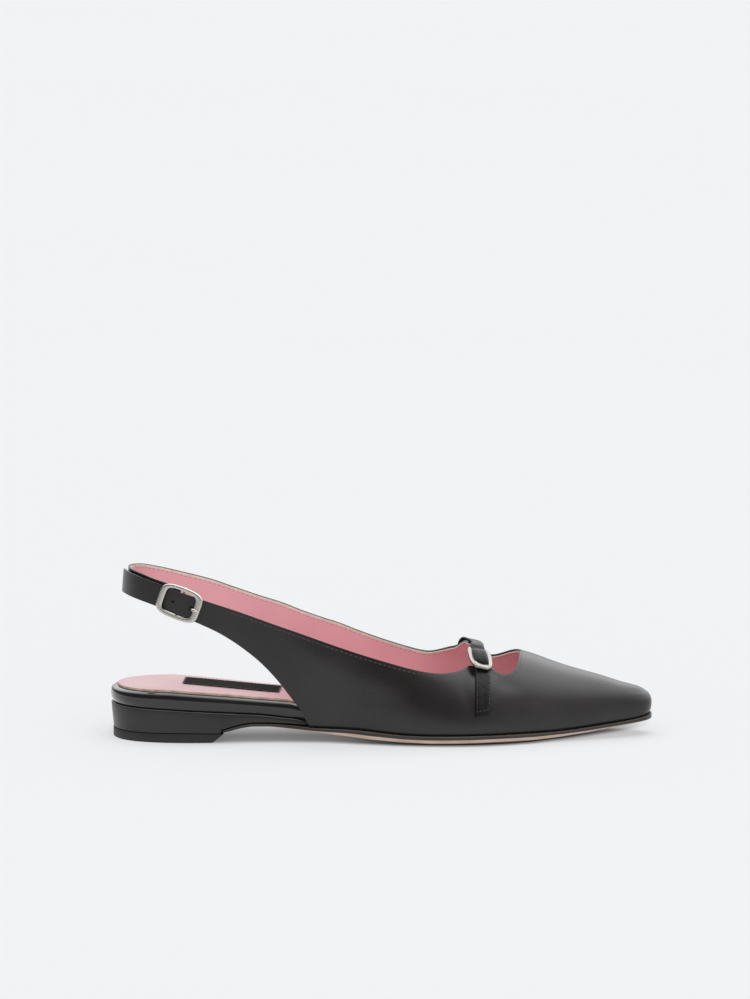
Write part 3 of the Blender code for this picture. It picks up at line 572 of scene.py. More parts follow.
def loft_piece(name: str, loops: np.ndarray, paint: Optional[Callable[[Vector, float], int]] = None) -> Piece:
    """A closed solid through loops of points: a flat grid rolled up, its seam merged and its ends filled.

    Args:
        name: name of the piece.
        loops: points by loop and place round it, in millimetres.
        paint: gives a face's material number from its middle in millimetres and its place round the loop.

    Returns:
        The piece.
    """
    count = loops.shape[1]
    closed = np.concatenate([loops, loops[:, :1]], axis=1)
    deselect_all()
    bpy.ops.mesh.primitive_grid_add(x_subdivisions=len(loops) - 1, y_subdivisions=count, size=1.0)
    item = named(name)
    places = [(face.center.y + 0.5) * count for face in item.data.polygons]
    set_points(item, closed.transpose(1, 0, 2).reshape(-1, 3) * MM)
    if paint is not None:
        for face, place in zip(item.data.polygons, places):
            face.material_index = paint(face.center / MM, place)
    edit_all(item, lambda: bpy.ops.mesh.remove_doubles(threshold=SEAM_MERGE * MM),
             lambda: bpy.ops.mesh.select_all(action="DESELECT"),
             lambda: bpy.ops.mesh.select_non_manifold(extend=False),
             lambda: bpy.ops.mesh.fill_holes(sides=0),
             lambda: bpy.ops.mesh.select_all(action="SELECT"),
             lambda: bpy.ops.mesh.normals_make_consistent(inside=False))
    smooth(item)
    return item


def round_bar(name: str, middle: Sequence[float], way: Sequence[float], radius: float,
              length: float) -> Piece:
    """A round bar along a direction.

    Args:
        name: name of the piece.
        middle: its middle.
        way: direction of its axis.
        radius: its radius.
        length: its length.

    Returns:
        The piece.
    """
    deselect_all()
    bpy.ops.mesh.primitive_cylinder_add(vertices=BAR_SIDES, radius=radius * MM, depth=length * MM)
    item = named(name)
    turn = Vector(way).to_track_quat("Z", "Y").to_matrix().to_4x4()
    item.data.transform(Matrix.Translation(Vector(middle) * MM) @ turn)
    return item


def join_pieces(name: str, items: Sequence[Piece]) -> Piece:
    """Join pieces into the first one and name it."""
    pick(items[0])
    for item in items:
        item.select_set(True)
    bpy.ops.object.join()
    return named(name)


def give_finishes(item: Piece, *finishes: "Finish") -> None:
    """Add finishes to a piece in the order of its material numbers."""
    for finish in finishes:
        item.data.materials.append(finish.material())


def dress(item: Piece, slot: str, *finishes: "Finish", replaces: Sequence[str] = ()) -> Piece:
    """Give a piece its finishes and its place on the shoe.

    Args:
        item: the piece.
        slot: the record's material slot; not used.
        finishes: finishes in the order of the piece's material numbers, unless it has them already.
        replaces: solids that the piece stands for.

    Returns:
        The piece.
    """
    if not item.data.materials:
        give_finishes(item, *finishes)
    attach(item, "root")
    if replaces:
        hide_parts(*replaces)
    LOG.info("%s: %d faces", item.name, len(item.data.polygons))
    return item


class NodeSheet:
    """A node tree with short ways to add and join nodes."""

    def __init__(self, tree: bpy.types.NodeTree) -> None:
        """Take a tree to work on."""
        self.tree = tree

    def add(self, kind: str, settings: Optional[dict] = None, **values: object) -> bpy.types.Node:
        """Add a node.

        Args:
            kind: the node's type name.
            settings: attributes of the node.
            values: values or output sockets for inputs; an underscore stands for a space.

        Returns:
            The node.
        """
        node = self.tree.nodes.new(kind)
        for key, value in (settings or {}).items():
            setattr(node, key, value)
        for key, value in values.items():
            self.give(node.inputs[key.replace("_", " ")], value)
        return node

    def give(self, socket: bpy.types.NodeSocket, value: object) -> None:
        """Set an input to a value or join it to an output."""
        if isinstance(value, bpy.types.NodeSocket):
            self.tree.links.new(value, socket)
        else:
            socket.default_value = value

    def maths(self, operation: str, first: object, second: object = 0.0) -> bpy.types.NodeSocket:
        """Result of a sum on two values or sockets."""
        node = self.tree.nodes.new("ShaderNodeMath")
        node.operation = operation
        self.give(node.inputs[0], first)
        self.give(node.inputs[1], second)
        return node.outputs[0]

    def spread(self, value: object, low: float, high: float, start: float = 0.0,
               end: float = 1.0) -> bpy.types.NodeSocket:
        """A value moved from one range to another.

        Args:
            value: the value or socket.
            low: result at the start.
            high: result at the end.
            start: start of the value's range.
            end: end of the value's range.

        Returns:
            The result, kept between low and high.
        """
        node = self.add("ShaderNodeMapRange", None, Value=value)
        for key, number in (("From Min", start), ("From Max", end), ("To Min", low), ("To Max", high)):
            node.inputs[key].default_value = number
        return node.outputs[0]

    def curve(self, value: object, low: float, high: float,
              points: Sequence[tuple[float, float]]) -> bpy.types.NodeSocket:
        """A value drawn as a curve.

        Args:
            value: what the curve runs along.
            low: where it starts.
            high: where it ends.
            points: places along it and values there, from 0 to 1.

        Returns:
            The curve's value.
        """
        node = self.add("ShaderNodeFloatCurve", None, Value=self.spread(value, 0.0, 1.0, low, high))
        line = node.mapping.curves[0]
        for place in points[1:-1]:
            line.points.new((place[0] - low) / (high - low), place[1])
        line.points[0].location = (0.0, points[0][1])
        line.points[-1].location = (1.0, points[-1][1])
        node.mapping.update()
        return node.outputs[0]

    def mix(self, share: object, first: object, second: object) -> bpy.types.NodeSocket:
        """Two colours mixed by a share."""
        node = self.tree.nodes.new("ShaderNodeMix")
        node.data_type = "RGBA"
        self.give(node.inputs[0], share)
        self.give(node.inputs[6], (*first, 1.0) if isinstance(first, tuple) else first)
        self.give(node.inputs[7], (*second, 1.0) if isinstance(second, tuple) else second)
        return node.outputs[2]


class Effect(Enum):
    """Surface effects that materials share."""

    GRAIN = "leather_grain"
    CRINKLE = "leather_crinkle"
    FIBRE = "cut_fibres"
    WEAVE = "plain_weave"


class Effects:
    """Node groups for the shared surface effects; each puts out a height and a tone from 0 to 1."""

    @classmethod
    def group(cls, effect: Effect) -> bpy.types.NodeTree:
        """The node group of an effect, made once."""
        known = bpy.data.node_groups.get(effect.value)
        if known:
            return known
        tree = bpy.data.node_groups.new(effect.value, "ShaderNodeTree")
        for name, kind in (("Vector", "NodeSocketVector"), ("Scale", "NodeSocketFloat")):
            tree.interface.new_socket(name, in_out="INPUT", socket_type=kind)
        for name in ("Height", "Tone"):
            tree.interface.new_socket(name, in_out="OUTPUT", socket_type="NodeSocketFloat")
        sheet = NodeSheet(tree)
        given = tree.nodes.new("NodeGroupInput").outputs
        makers = {Effect.GRAIN: cls._grain, Effect.CRINKLE: cls._crinkle, Effect.FIBRE: cls._fibre,
                  Effect.WEAVE: cls._weave}
        height, tone = makers[effect](sheet, given["Vector"], given["Scale"])
        result = tree.nodes.new("NodeGroupOutput")
        sheet.give(result.inputs["Height"], height)
        sheet.give(result.inputs["Tone"], tone)
        return tree

    @staticmethod
    def _noise(sheet: NodeSheet, vector: object, scale: object, detail: float) -> bpy.types.NodeSocket:
        """A noise value."""
        node = sheet.add("ShaderNodeTexNoise", None, Vector=vector, Scale=scale, Detail=detail)
        return node.outputs[0]

    @classmethod
    def _grain(cls, sheet: NodeSheet, vector: object, scale: object) -> tuple:
        """Fine pebbles with pores, and a slow change of tone."""
        cells = sheet.add("ShaderNodeTexVoronoi", {"feature": "SMOOTH_F1"}, Vector=vector, Scale=scale)
        pores = cls._noise(sheet, vector, sheet.maths("MULTIPLY", scale, 2.2), 3.0)
        height = sheet.maths("ADD", sheet.maths("MULTIPLY", cells.outputs[0], 0.7),
                             sheet.maths("MULTIPLY", pores, 0.5))
        return height, cls._noise(sheet, vector, sheet.maths("MULTIPLY", scale, 0.04), 2.0)

    @classmethod
    def _crinkle(cls, sheet: NodeSheet, vector: object, scale: object) -> tuple:
        """Shallow creases between flat islands."""
        warp = sheet.add("ShaderNodeTexNoise", None, Vector=vector, Scale=sheet.maths("MULTIPLY", scale, 0.8))
        bent = sheet.add("ShaderNodeVectorMath", {"operation": "MULTIPLY_ADD"})
        sheet.give(bent.inputs[0], warp.outputs[1])
        bent.inputs[1].default_value = (0.0022, 0.0022, 0.0022)
        sheet.give(bent.inputs[2], vector)
        cells = sheet.add("ShaderNodeTexVoronoi", {"feature": "DISTANCE_TO_EDGE"}, Vector=bent.outputs[0],
                          Scale=scale)
        height = sheet.spread(cells.outputs[0], 0.0, 1.0, 0.0, 0.7)
        return height, cls._noise(sheet, vector, sheet.maths("MULTIPLY", scale, 0.5), 2.0)

    @classmethod
    def _fibre(cls, sheet: NodeSheet, vector: object, scale: object) -> tuple:
        """Short fibres of a cut edge, drawn out along the shoe."""
        drawn = sheet.add("ShaderNodeMapping", None, Vector=vector, Scale=(0.22, 0.6, 1.0))
        fibres = cls._noise(sheet, drawn.outputs[0], scale, 4.0)
        return fibres, cls._noise(sheet, vector, sheet.maths("MULTIPLY", scale, 0.12), 2.0)

    @staticmethod
    def _weave(sheet: NodeSheet, vector: object, scale: object) -> tuple:
        """Threads over and under each other."""
        bands = [sheet.add("ShaderNodeTexWave", {"wave_type": "BANDS", "bands_direction": way}, Vector=vector,
                           Scale=scale).outputs[1] for way in ("X", "Y")]
        over = sheet.maths("MULTIPLY", bands[0], bands[1])
        return sheet.maths("MAXIMUM", over, sheet.maths("MULTIPLY", bands[0], 0.6)), over


@dataclass(frozen=True)
class Finish:
    """A finish of the shoe: a base colour that drifts to a second one, with a fine relief."""

    name: str
    colour: Colour
    second: Colour
    roughness: tuple[float, float]
    effect: Effect
    scale: float
    relief: float
    metallic: float = 0.0
    specular: float = 0.5
    coat: float = 0.0
    coat_roughness: float = 0.05
    glow: float = 0.0
    wave_scale: float = 0.0
    wave_relief: float = 0.0

    def material(self) -> bpy.types.Material:
        """The finish's material, made once."""
        known = bpy.data.materials.get(self.name)
        if known:
            return known
        made = bpy.data.materials.new(self.name)
        made.use_nodes = True
        sheet = NodeSheet(made.node_tree)
        shader = made.node_tree.nodes["Principled BSDF"]
        place = made.node_tree.nodes.new("ShaderNodeTexCoord").outputs["Object"]
        effect = made.node_tree.nodes.new("ShaderNodeGroup")
        effect.node_tree = Effects.group(self.effect)
        sheet.give(effect.inputs["Vector"], place)
        effect.inputs["Scale"].default_value = self.scale
        tone = sheet.spread(effect.outputs["Tone"], 0.0, 1.0, 0.3, 0.7)
        sheet.give(shader.inputs["Base Color"], sheet.mix(tone, self.colour, self.second))
        sheet.give(shader.inputs["Roughness"], sheet.spread(effect.outputs["Height"], *self.roughness))
        fine = sheet.add("ShaderNodeBump", None, Height=effect.outputs["Height"])
        fine.inputs["Strength"].default_value = 1.0
        fine.inputs["Distance"].default_value = self.relief * MM
        if self.wave_relief:
            wave = sheet.add("ShaderNodeTexNoise", None, Vector=place, Scale=self.wave_scale, Detail=1.0)
            broad = sheet.add("ShaderNodeBump", None, Height=wave.outputs[0])
            broad.inputs["Distance"].default_value = self.wave_relief * MM
            sheet.give(fine.inputs["Normal"], broad.outputs[0])
        sheet.give(shader.inputs["Normal"], fine.outputs[0])
        shader.inputs["Metallic"].default_value = self.metallic
        shader.inputs["Specular IOR Level"].default_value = self.specular
        shader.inputs["Coat Weight"].default_value = self.coat
        shader.inputs["Coat Roughness"].default_value = self.coat_roughness
        if self.glow:
            shader.inputs["Emission Color"].default_value = (*self.colour, 1.0)
            shader.inputs["Emission Strength"].default_value = self.glow
        made.diffuse_color = (*self.colour, 1.0)
        return made


@dataclass(frozen=True)
class FloorFinish(Finish):
    """Pale, evenly glowing paper with a painted shadow: its glow is cut down close to the shoe's contact."""

    # Near edge of the painted shadow: length and distance across, in millimetres.
    near_edge: tuple[tuple[float, float], ...] = (
        (-132.0, 14.0), (-122.0, -8.0), (-110.0, -21.0), (-90.0, -26.5), (-57.0, -24.0), (-25.0, -24.0),
        (-10.0, -29.0), (9.0, -34.0), (28.0, -35.5), (48.0, -34.0), (67.0, -28.0), (81.0, -19.0),
        (100.0, -4.0), (115.0, 9.0), (132.0, 27.0))
    # Share of the glow left inside the painted shadow, by length.
    shadow_glow_left: tuple[tuple[float, float], ...] = (
        (-132.0, 1.0), (-124.0, 0.7), (-112.0, 0.36), (-60.0, 0.36), (-25.0, 0.3), (0.0, 0.1), (18.0, 0.02),
        (84.0, 0.02), (104.0, 0.12), (118.0, 0.3), (126.0, 0.7), (132.0, 1.0))
    reach: float = 60.0
    soft: float = 4.5
    far_edge: tuple[float, float] = (20.0, 54.0)

    def material(self) -> bpy.types.Material:
        """The floor's material, made once."""
        known = bpy.data.materials.get(self.name)
        if known:
            return known
        made = super().material()
        sheet = NodeSheet(made.node_tree)
        place = made.node_tree.nodes.new("ShaderNodeTexCoord").outputs["Object"]
        way = sheet.add("ShaderNodeSeparateXYZ", None, Vector=place)
        x, y = (sheet.maths("DIVIDE", way.outputs[axis], MM) for axis in "XY")
        ends = self.near_edge[0][0], self.near_edge[-1][0]
        shares = [(spot, 0.5 + 0.5 * edge / self.reach) for spot, edge in self.near_edge]
        edge = sheet.spread(sheet.curve(x, *ends, shares), -self.reach, self.reach)
        depth = sheet.maths("SUBTRACT", y, edge)
        behind = sheet.spread(depth, 0.0, 1.0, -self.soft, self.soft)
        inside = sheet.maths("MULTIPLY", behind, sheet.spread(depth, 1.0, 0.0, *self.far_edge))
        # The painted shadow: glow taken away behind the near edge and before the far edge.
        painted_shadow = sheet.maths("MULTIPLY", inside, sheet.maths("SUBTRACT", 1.0, sheet.curve(x, *ends, self.shadow_glow_left)))
        shader = made.node_tree.nodes["Principled BSDF"]
        sheet.give(shader.inputs["Emission Strength"],
                   sheet.maths("MULTIPLY", sheet.maths("SUBTRACT", 1.0, painted_shadow), self.glow))
        return made


UPPER_LEATHER = Finish("smooth_black_leather", (0.0125, 0.0105, 0.010), (0.0175, 0.0148, 0.0143),
                       (0.24, 0.32), Effect.GRAIN, 1500.0, 0.012, specular=0.5, wave_scale=55.0,
                       wave_relief=0.12)
STRAP_LEATHER = Finish("crinkled_black_leather", (0.0085, 0.0076, 0.0074), (0.012, 0.0108, 0.0106),
                       (0.3, 0.44), Effect.CRINKLE, 260.0, 0.045, specular=0.22, wave_scale=190.0,
                       wave_relief=0.16)
# The lining's glow is painted light: it lifts the pink out of the shade inside the shoe.
LINING_LEATHER = Finish("pink_lining_leather", (0.74, 0.345, 0.383), (0.80, 0.39, 0.428), (0.48, 0.6),
                        Effect.GRAIN, 1100.0, 0.012, specular=0.3, glow=0.085, wave_scale=70.0,
                        wave_relief=0.08)
RAW_EDGE = Finish("raw_cream_edge", (0.72, 0.575, 0.47), (0.84, 0.71, 0.61), (0.75, 0.9), Effect.FIBRE,
                  2600.0, 0.05, specular=0.2)
SOCK_LEATHER = Finish("pale_pink_sock_leather", (0.605, 0.395, 0.41), (0.66, 0.46, 0.468), (0.36, 0.5),
                      Effect.GRAIN, 1200.0, 0.012, specular=0.3, wave_scale=60.0, wave_relief=0.08)
SOCK_EDGE = Finish("raw_tan_edge", (0.38, 0.27, 0.205), (0.58, 0.455, 0.365), (0.75, 0.9), Effect.FIBRE,
                   2400.0, 0.06, specular=0.2)
PATENT_LEATHER = Finish("black_patent_leather", (0.007, 0.007, 0.007), (0.010, 0.0095, 0.0095),
                        (0.10, 0.16), Effect.GRAIN, 900.0, 0.003, specular=0.2, coat=1.0,
                        coat_roughness=0.03, wave_scale=95.0, wave_relief=0.05)
HEEL_LEATHER = Finish("black_heel_leather", (0.0155, 0.0145, 0.014), (0.021, 0.0195, 0.019), (0.26, 0.38),
                      Effect.GRAIN, 1000.0, 0.01, specular=0.45, wave_scale=80.0, wave_relief=0.06)
LIFT_RUBBER = Finish("black_lift_rubber", (0.017, 0.0168, 0.0165), (0.026, 0.0255, 0.025), (0.42, 0.58),
                     Effect.GRAIN, 1900.0, 0.012, specular=0.4)
PAINTED_EDGE = Finish("painted_sole_edge", (0.027, 0.0225, 0.020), (0.036, 0.0305, 0.027), (0.34, 0.46),
                      Effect.GRAIN, 900.0, 0.006, specular=0.45)
# The wheeled line is drawn lighter than the edge paint: real wheel marks carrying a painted highlight.
WHEELED_LINE_AND_HIGHLIGHT = Finish("wheeled_edge_line_and_highlight", (0.062, 0.054, 0.048), (0.098, 0.088, 0.079), (0.4, 0.6),
                      Effect.GRAIN, 3200.0, 0.02, specular=0.4)
SOLE_LEATHER = Finish("tan_sole_leather", (0.47, 0.345, 0.27), (0.58, 0.45, 0.37), (0.5, 0.7), Effect.FIBRE,
                      900.0, 0.02, specular=0.35)
# A darker copy of the tan sole leather: painted shade on the bevel's foot and the tread, under the sole.
SOLE_LEATHER_IN_PAINTED_SHADE = Finish("tan_sole_leather_painted_shade", (0.235, 0.172, 0.135), (0.31, 0.235, 0.19), (0.55, 0.75),
                       Effect.FIBRE, 700.0, 0.03, specular=0.3)
# A light line along the heel block's top edge: a painted highlight.
HEEL_EDGE_PAINTED_HIGHLIGHT = Finish("heel_top_edge_painted_highlight", (0.075, 0.066, 0.06), (0.13, 0.118, 0.108), (0.35, 0.5), Effect.FIBRE,
                   900.0, 0.01, specular=0.45)
NICKEL = Finish("polished_nickel", (0.64, 0.615, 0.565), (0.69, 0.665, 0.615), (0.3, 0.38), Effect.GRAIN,
                700.0, 0.003, metallic=1.0)
# A darker copy of the nickel for the small buckle: painted shade that dims its bright reflections.
DIMMED_NICKEL = Finish("dimmed_nickel", (0.285, 0.27, 0.245), (0.345, 0.33, 0.302), (0.22, 0.3), Effect.GRAIN,
                      700.0, 0.003, metallic=1.0)
# Black thread drawn dark grey: part of the light its raised stitches catch is painted into its colour.
BLACK_THREAD = Finish("black_thread", (0.042, 0.04, 0.038), (0.075, 0.072, 0.069), (0.45, 0.6),
                      Effect.FIBRE, 4000.0, 0.03, specular=0.45)
PINK_THREAD = Finish("pink_thread", (0.52, 0.20, 0.235), (0.60, 0.25, 0.285), (0.6, 0.8), Effect.FIBRE,
                     4000.0, 0.03, specular=0.3)
LABEL_CLOTH = Finish("black_woven_label", (0.009, 0.0088, 0.0085), (0.022, 0.0212, 0.0205), (0.85, 1.0),
                     Effect.WEAVE, 520.0, 0.08, specular=0.08)
FLOOR_PAPER = FloorFinish("pale_floor", (0.44, 0.4445, 0.452), (0.443, 0.4475, 0.455), (0.9, 1.0),
                          Effect.GRAIN, 30.0, 0.0, specular=0.0, glow=0.99)


@dataclass
class Stitching:
    """A row of sewn stitches along a line on a surface.

    Each one sinks in a little, and its direction is read by a look to both sides of it.
    """

    pitch: float = 2.4
    length: float = 1.75
    width: float = 0.46
    height: float = 0.34
    sink: float = 0.02
    look: float = 0.3

    def template(self) -> tuple[np.ndarray, list[tuple[int, ...]]]:
        """One stitch: a ball drawn out along X and taken in at its ends.

        Returns:
            Its points in millimetres and its faces.
        """
        deselect_all()
        bpy.ops.mesh.primitive_uv_sphere_add(segments=8, ring_count=6, radius=0.5)
        item = named("one_stitch")
        size = (self.length, self.width, self.height)
        middle = (0.0, 0.0, 0.0)
        edit_all(item,
                 lambda: bpy.ops.transform.rotate(value=math.pi / 2, orient_axis="Y", center_override=middle),
                 lambda: bpy.ops.transform.resize(value=size))
        points = points_of(item)
        faces = [tuple(face.vertices) for face in item.data.polygons]
        bpy.data.objects.remove(item, do_unlink=True)
        return points, faces

    def sew(self, name: str, rows: Sequence[tuple[np.ndarray, np.ndarray]]) -> Piece:
        """Sew stitches along lines.

        Args:
            name: name of the piece.
            rows: points of each line and the outward directions there.

        Returns:
            One piece with all stitches.
        """
        shape, faces = self.template()
        points, all_faces = [], []
        for line, normals in rows:
            lengths = distances(line)
            places = np.arange(0.5 * self.pitch, lengths[-1], self.pitch)
            spot = rows_at(places, lengths, line)
            out = unit(rows_at(places, lengths, normals))
            ahead, behind = (rows_at(places + step, lengths, line) for step in (self.look, -self.look))
            way = unit(ahead - behind)
            way = unit(way - out * np.sum(way * out, axis=1)[:, None])
            side = np.cross(out, way)
            for i in range(len(places)):
                turned = (shape[:, :1] * way[i] + shape[:, 1:2] * side[i] + shape[:, 2:] * out[i])
                base = len(points) * len(shape)
                points.append(turned + spot[i] - out[i] * self.sink)
                all_faces += [tuple(base + k for k in face) for face in faces]
        mesh = bpy.data.meshes.new(name)
        mesh.from_pydata((np.concatenate(points) * MM).tolist(), [], all_faces)
        item = bpy.data.objects.new(name, mesh)
        bpy.context.scene.collection.objects.link(item)
        smooth(item, 80.0)
        return item


@dataclass
class Upper:
    """The upper: a leather shell, its lining, the stitched toplines and the holes of the billet.

    The lining's top edge is trimmed below the leather's, with a cut band along it. The foot of the wall is
    tucked in above the sole. The toe's top is dropped and its end swells.
    """

    last: ShoeLast
    leather: float = 1.0
    lining: float = 0.55
    layer_gap: float = 0.04
    columns_per_rib: int = 6
    vamp_columns: int = 48
    rows: int = 30
    window_bulge: float = 0.9
    window_bulge_width: float = 3.4
    tuck: float = 0.65
    tuck_height: float = 1.25
    toe_tuck_loss: float = 0.6
    stitch_depth: float = 1.65
    least_slant: float = 0.45
    trim: float = 0.3
    trim_columns: float = 4.0
    band: float = 1.0
    toe_drop: float = 0.9
    toe_drop_ends: tuple[float, float] = (103.0, 121.0)
    toe_drop_height: float = 10.0
    toe_swell: float = 0.75
    toe_swell_ends: tuple[float, float] = (112.0, 128.0)
    toe_height: float = 11.0
    toe_reach: float = 9.0
    toe_passes: int = 16
    tail_ribs: int = 6
    first_stitched_ribs: tuple[int, int] = (7, 5)
    edge_round: float = 0.28
    punch_depth: float = 8.0
    skins: dict[Side, tuple[np.ndarray, np.ndarray]] = field(default_factory=dict)

    def ribs(self, side: Side) -> np.ndarray:
        """Lower turn and rise, upper turn and rise of a side's ribs, from its strap's end to the toe."""
        last = self.last
        half = last.skin.half_length
        rows = []
        straps = TAIL_RIBS if side is Side.LATERAL else SLING_RIBS[::-1]
        quarter = LATERAL_RIBS if side is Side.LATERAL else MEDIAL_RIBS
        for low_distance, low_z, high_distance, high_z in straps:
            turns = np.array([low_distance, high_distance]) / half
            rises = last.rise_at(turns, np.array([low_z, high_z]))
            rows.append((turns[0], rises[0], turns[1], rises[1]))
        for low_x, low_z, high_x, high_z in quarter:
            rows.append((*last.find(side, low_x, low_z), *last.find(side, high_x, high_z)))
        first = len(LAST_STATIONS) - 1
        ridge = side.value * np.interp(THROAT_RIB[1], last.skin.values[first:, 2], last.skin.turns[first:])
        rows.append((last.find(side, THROAT_RIB[0], None)[0], 0.0, ridge, math.pi / 2))
        fine = smooth_rows(rows, self.columns_per_rib)
        share = np.linspace(0.0, 1.0, self.vamp_columns + 1)[1:]
        low = fine[-1, 0] + (side.value - fine[-1, 0]) * share
        high = fine[-1, 2] + (side.value - fine[-1, 2]) * share
        vamp = np.column_stack([low, np.zeros_like(low), high, np.full_like(high, math.pi / 2)])
        return np.vstack([fine, vamp])

    def skin(self, side: Side) -> tuple[np.ndarray, np.ndarray]:
        """The outer face of one side, with its soft creases.

        Args:
            side: side of the shoe.

        Returns:
            Points and outward directions, by column and row.
        """
        if side in self.skins:
            return self.skins[side]
        ribs = self.ribs(side)
        share = np.linspace(0.0, 1.0, self.rows + 1)[None, :]
        turn = ribs[:, 0:1] + (ribs[:, 2:3] - ribs[:, 0:1]) * share
        rise = ribs[:, 1:2] + (ribs[:, 3:4] - ribs[:, 1:2]) * share
        points = self.last.point(turn.ravel(), rise.ravel()).reshape(*turn.shape, 3)
        out = self.last.skin.outward(turn.ravel()).reshape(*turn.shape, 2)
        distance = turn * self.last.skin.half_length
        if side is Side.LATERAL:
            ease = np.interp(distance, TAIL_STAND_OFF_ENDS, (1.0, 0.0))
            stand = TAIL_STAND_OFF * soft_step(ease)
            stand += self.window_bulge * np.exp(-((distance - HEEL_BAR_TURN) / self.window_bulge_width) ** 2)
            points[:, :, :2] += out * stand[:, :, None]
        feather = self.last.skin.at(turn.ravel())[:, 4].reshape(turn.shape)
        ease = np.interp(points[:, :, 0], self.toe_drop_ends, (0.0, 1.0))
        share = np.clip((points[:, :, 2] - feather) / self.toe_drop_height, 0.0, 1.0)
        points[:, :, 2] -= self.toe_drop * soft_step(ease) * share
        ahead = np.interp(points[:, :, 0], self.toe_swell_ends, (0.0, 1.0))
        height = np.clip((points[:, :, 2] - feather) / self.toe_height, 0.0, 1.0)
        points[:, :, 0] += self.toe_swell * ahead**2 * np.sin(0.8 * math.pi * height)
        tucked = np.where(ribs[:, 1:2] <= 1e-6, self.tuck, 0.0)
        tucked = tucked * (1.0 - self.toe_tuck_loss * ahead)
        tucked = tucked * np.exp(-((points[:, :, 2] - feather) / self.tuck_height) ** 2)
        points[:, :, :2] -= out * tucked[:, :, None]
        normals = self.normals(points, side)
        points = points + normals * self.creases(points, side)[:, :, None]
        self.skins[side] = (points, self.normals(points, side))
        return self.skins[side]

    @staticmethod
    def normals(points: np.ndarray, side: Side) -> np.ndarray:
        """Outward directions of a grid of points."""
        crossed = np.cross(np.gradient(points, axis=0), np.gradient(points, axis=1))
        crossed[-1] = crossed[-2]
        crossed[:, -1] = np.where(np.linalg.norm(crossed[:, -1:], axis=2) < 1e-6, crossed[:, -2:-1],
                                  crossed[:, -1:])[:, 0]
        return unit(crossed) * side.value

    @staticmethod
    def creases(points: np.ndarray, side: Side) -> np.ndarray:
        """Depth of the soft troughs and ridges at a grid of points."""
        depth = np.zeros(points.shape[:2])
        for crease in CREASES:
            if crease.side is side:
                depth += crease.depth_at(points[:, :, 0], points[:, :, 2])
        return depth

    def throat_column(self, side: Side) -> int:
        """Column of a side's skin where the throat meets the ridge."""
        return len(self.skin(side)[0]) - self.vamp_columns - 1

    def trimmed(self, side: Side) -> tuple[np.ndarray, np.ndarray]:
        """The skin of one side with its top edge cut lower and a narrow last row below it.

        Args:
            side: side of the shoe.

        Returns:
            Points and outward directions, by column and row.
        """
        points, normals = self.skin(side)
        throat = self.throat_column(side)
        new_points, new_normals = [], []
        for column, (rib, out) in enumerate(zip(points, normals)):
            lengths = distances(rib)
            ease = min(max((throat - column) / self.trim_columns, 0.0), 1.0)
            top = lengths[-1] - self.trim * ease
            band = self.band * ease + (1.0 - ease) * top / self.rows
            places = np.append(np.linspace(0.0, top - band, self.rows), top)
            new_points.append(rows_at(places, lengths, rib))
            new_normals.append(rows_at(places, lengths, out))
        return np.array(new_points), unit(np.array(new_normals))

    def layer_number(self, side: Side, column: int, row: int) -> int:
        """First of the three finishes of a lining face: 3 on the tail, 6 on the cut band, 0 elsewhere."""
        if side is Side.LATERAL and column < self.tail_ribs * self.columns_per_rib:
            return 3
        return 6 if row == self.rows - 1 and column < self.throat_column(side) else 0

    def shell(self, name: str, start: float, thickness: float, finishes: Sequence[Finish]) -> Piece:
        """One layer of the wall.

        Args:
            name: name of the piece.
            start: how far inside the outer face the layer starts; only the outermost one is not trimmed.
            thickness: the layer's thickness.
            finishes: finishes outside, inside and on the cut edge, three by three.

        Returns:
            The closed layer.
        """
        sides, numbers = [], []
        for side in Side:
            points, normals = self.trimmed(side) if start else self.skin(side)
            grid = points - normals * start
            columns = range(len(grid) - 1)
            if side is Side.MEDIAL:
                grid, columns = grid[::-1], columns[::-1]
            sides.append(sheet_piece(f"{name}_{side.name.lower()}", grid))
            numbers += [self.layer_number(side, column, row) if start else 0
                        for row in range(self.rows) for column in columns]
        item = join_pieces(name, sides)
        give_finishes(item, *finishes)
        item.data.polygons.foreach_set("material_index", numbers)
        edit_all(item, lambda: bpy.ops.mesh.remove_doubles(threshold=SKIN_MERGE * MM))
        self.soften_toe(item)
        wall = item.modifiers.new("wall", "SOLIDIFY")
        wall.thickness = thickness * MM
        wall.offset = -1.0
        wall.use_even_offset = False
        wall.use_quality_normals = True
        wall.material_offset = 1
        wall.material_offset_rim = 2
        return item

    def soften_toe(self, item: Piece) -> None:
        """Smooth the skin where its ribs run together at the end of the ridge."""
        pole = self.skin(Side.LATERAL)[0][-1, -1]
        near = np.linalg.norm(points_of(item) / MM - pole, axis=1) < self.toe_reach
        pick(item)
        bpy.ops.object.mode_set(mode="EDIT")
        bpy.ops.mesh.select_all(action="DESELECT")
        bpy.ops.object.mode_set(mode="OBJECT")
        item.data.vertices.foreach_set("select", near)
        bpy.ops.object.mode_set(mode="EDIT")
        bpy.ops.mesh.vertices_smooth(factor=0.5, repeat=self.toe_passes)
        bpy.ops.object.mode_set(mode="OBJECT")

    def topline(self, side: Side, face: Face, first: int) -> tuple[np.ndarray, np.ndarray]:
        """The line of stitches below the topline.

        Args:
            side: side of the shoe.
            face: face of the wall that the stitches show on.
            first: first rib of the line.

        Returns:
            Points and outward directions along the line.
        """
        points, normals = self.skin(side)
        last_column = len(points) - self.vamp_columns
        line, out = [], []
        top = points[:, -1]
        for column in range(first * self.columns_per_rib, last_column):
            rib = points[column, ::-1]
            lengths = distances(rib)
            way = unit(top[min(column + 1, last_column)] - top[column - 1])
            slant = np.linalg.norm(np.cross(way, unit(rib[1] - rib[0])))
            depth = self.stitch_depth / max(slant, self.least_slant)
            line.append(rows_at(depth, lengths, rib))
            out.append(rows_at(depth, lengths, normals[column, ::-1]))
        line, out = np.array(line), unit(np.array(out))
        if face is Face.INNER:
            line = line - out * (self.leather + self.layer_gap + self.lining)
            out = -out
        return line, out

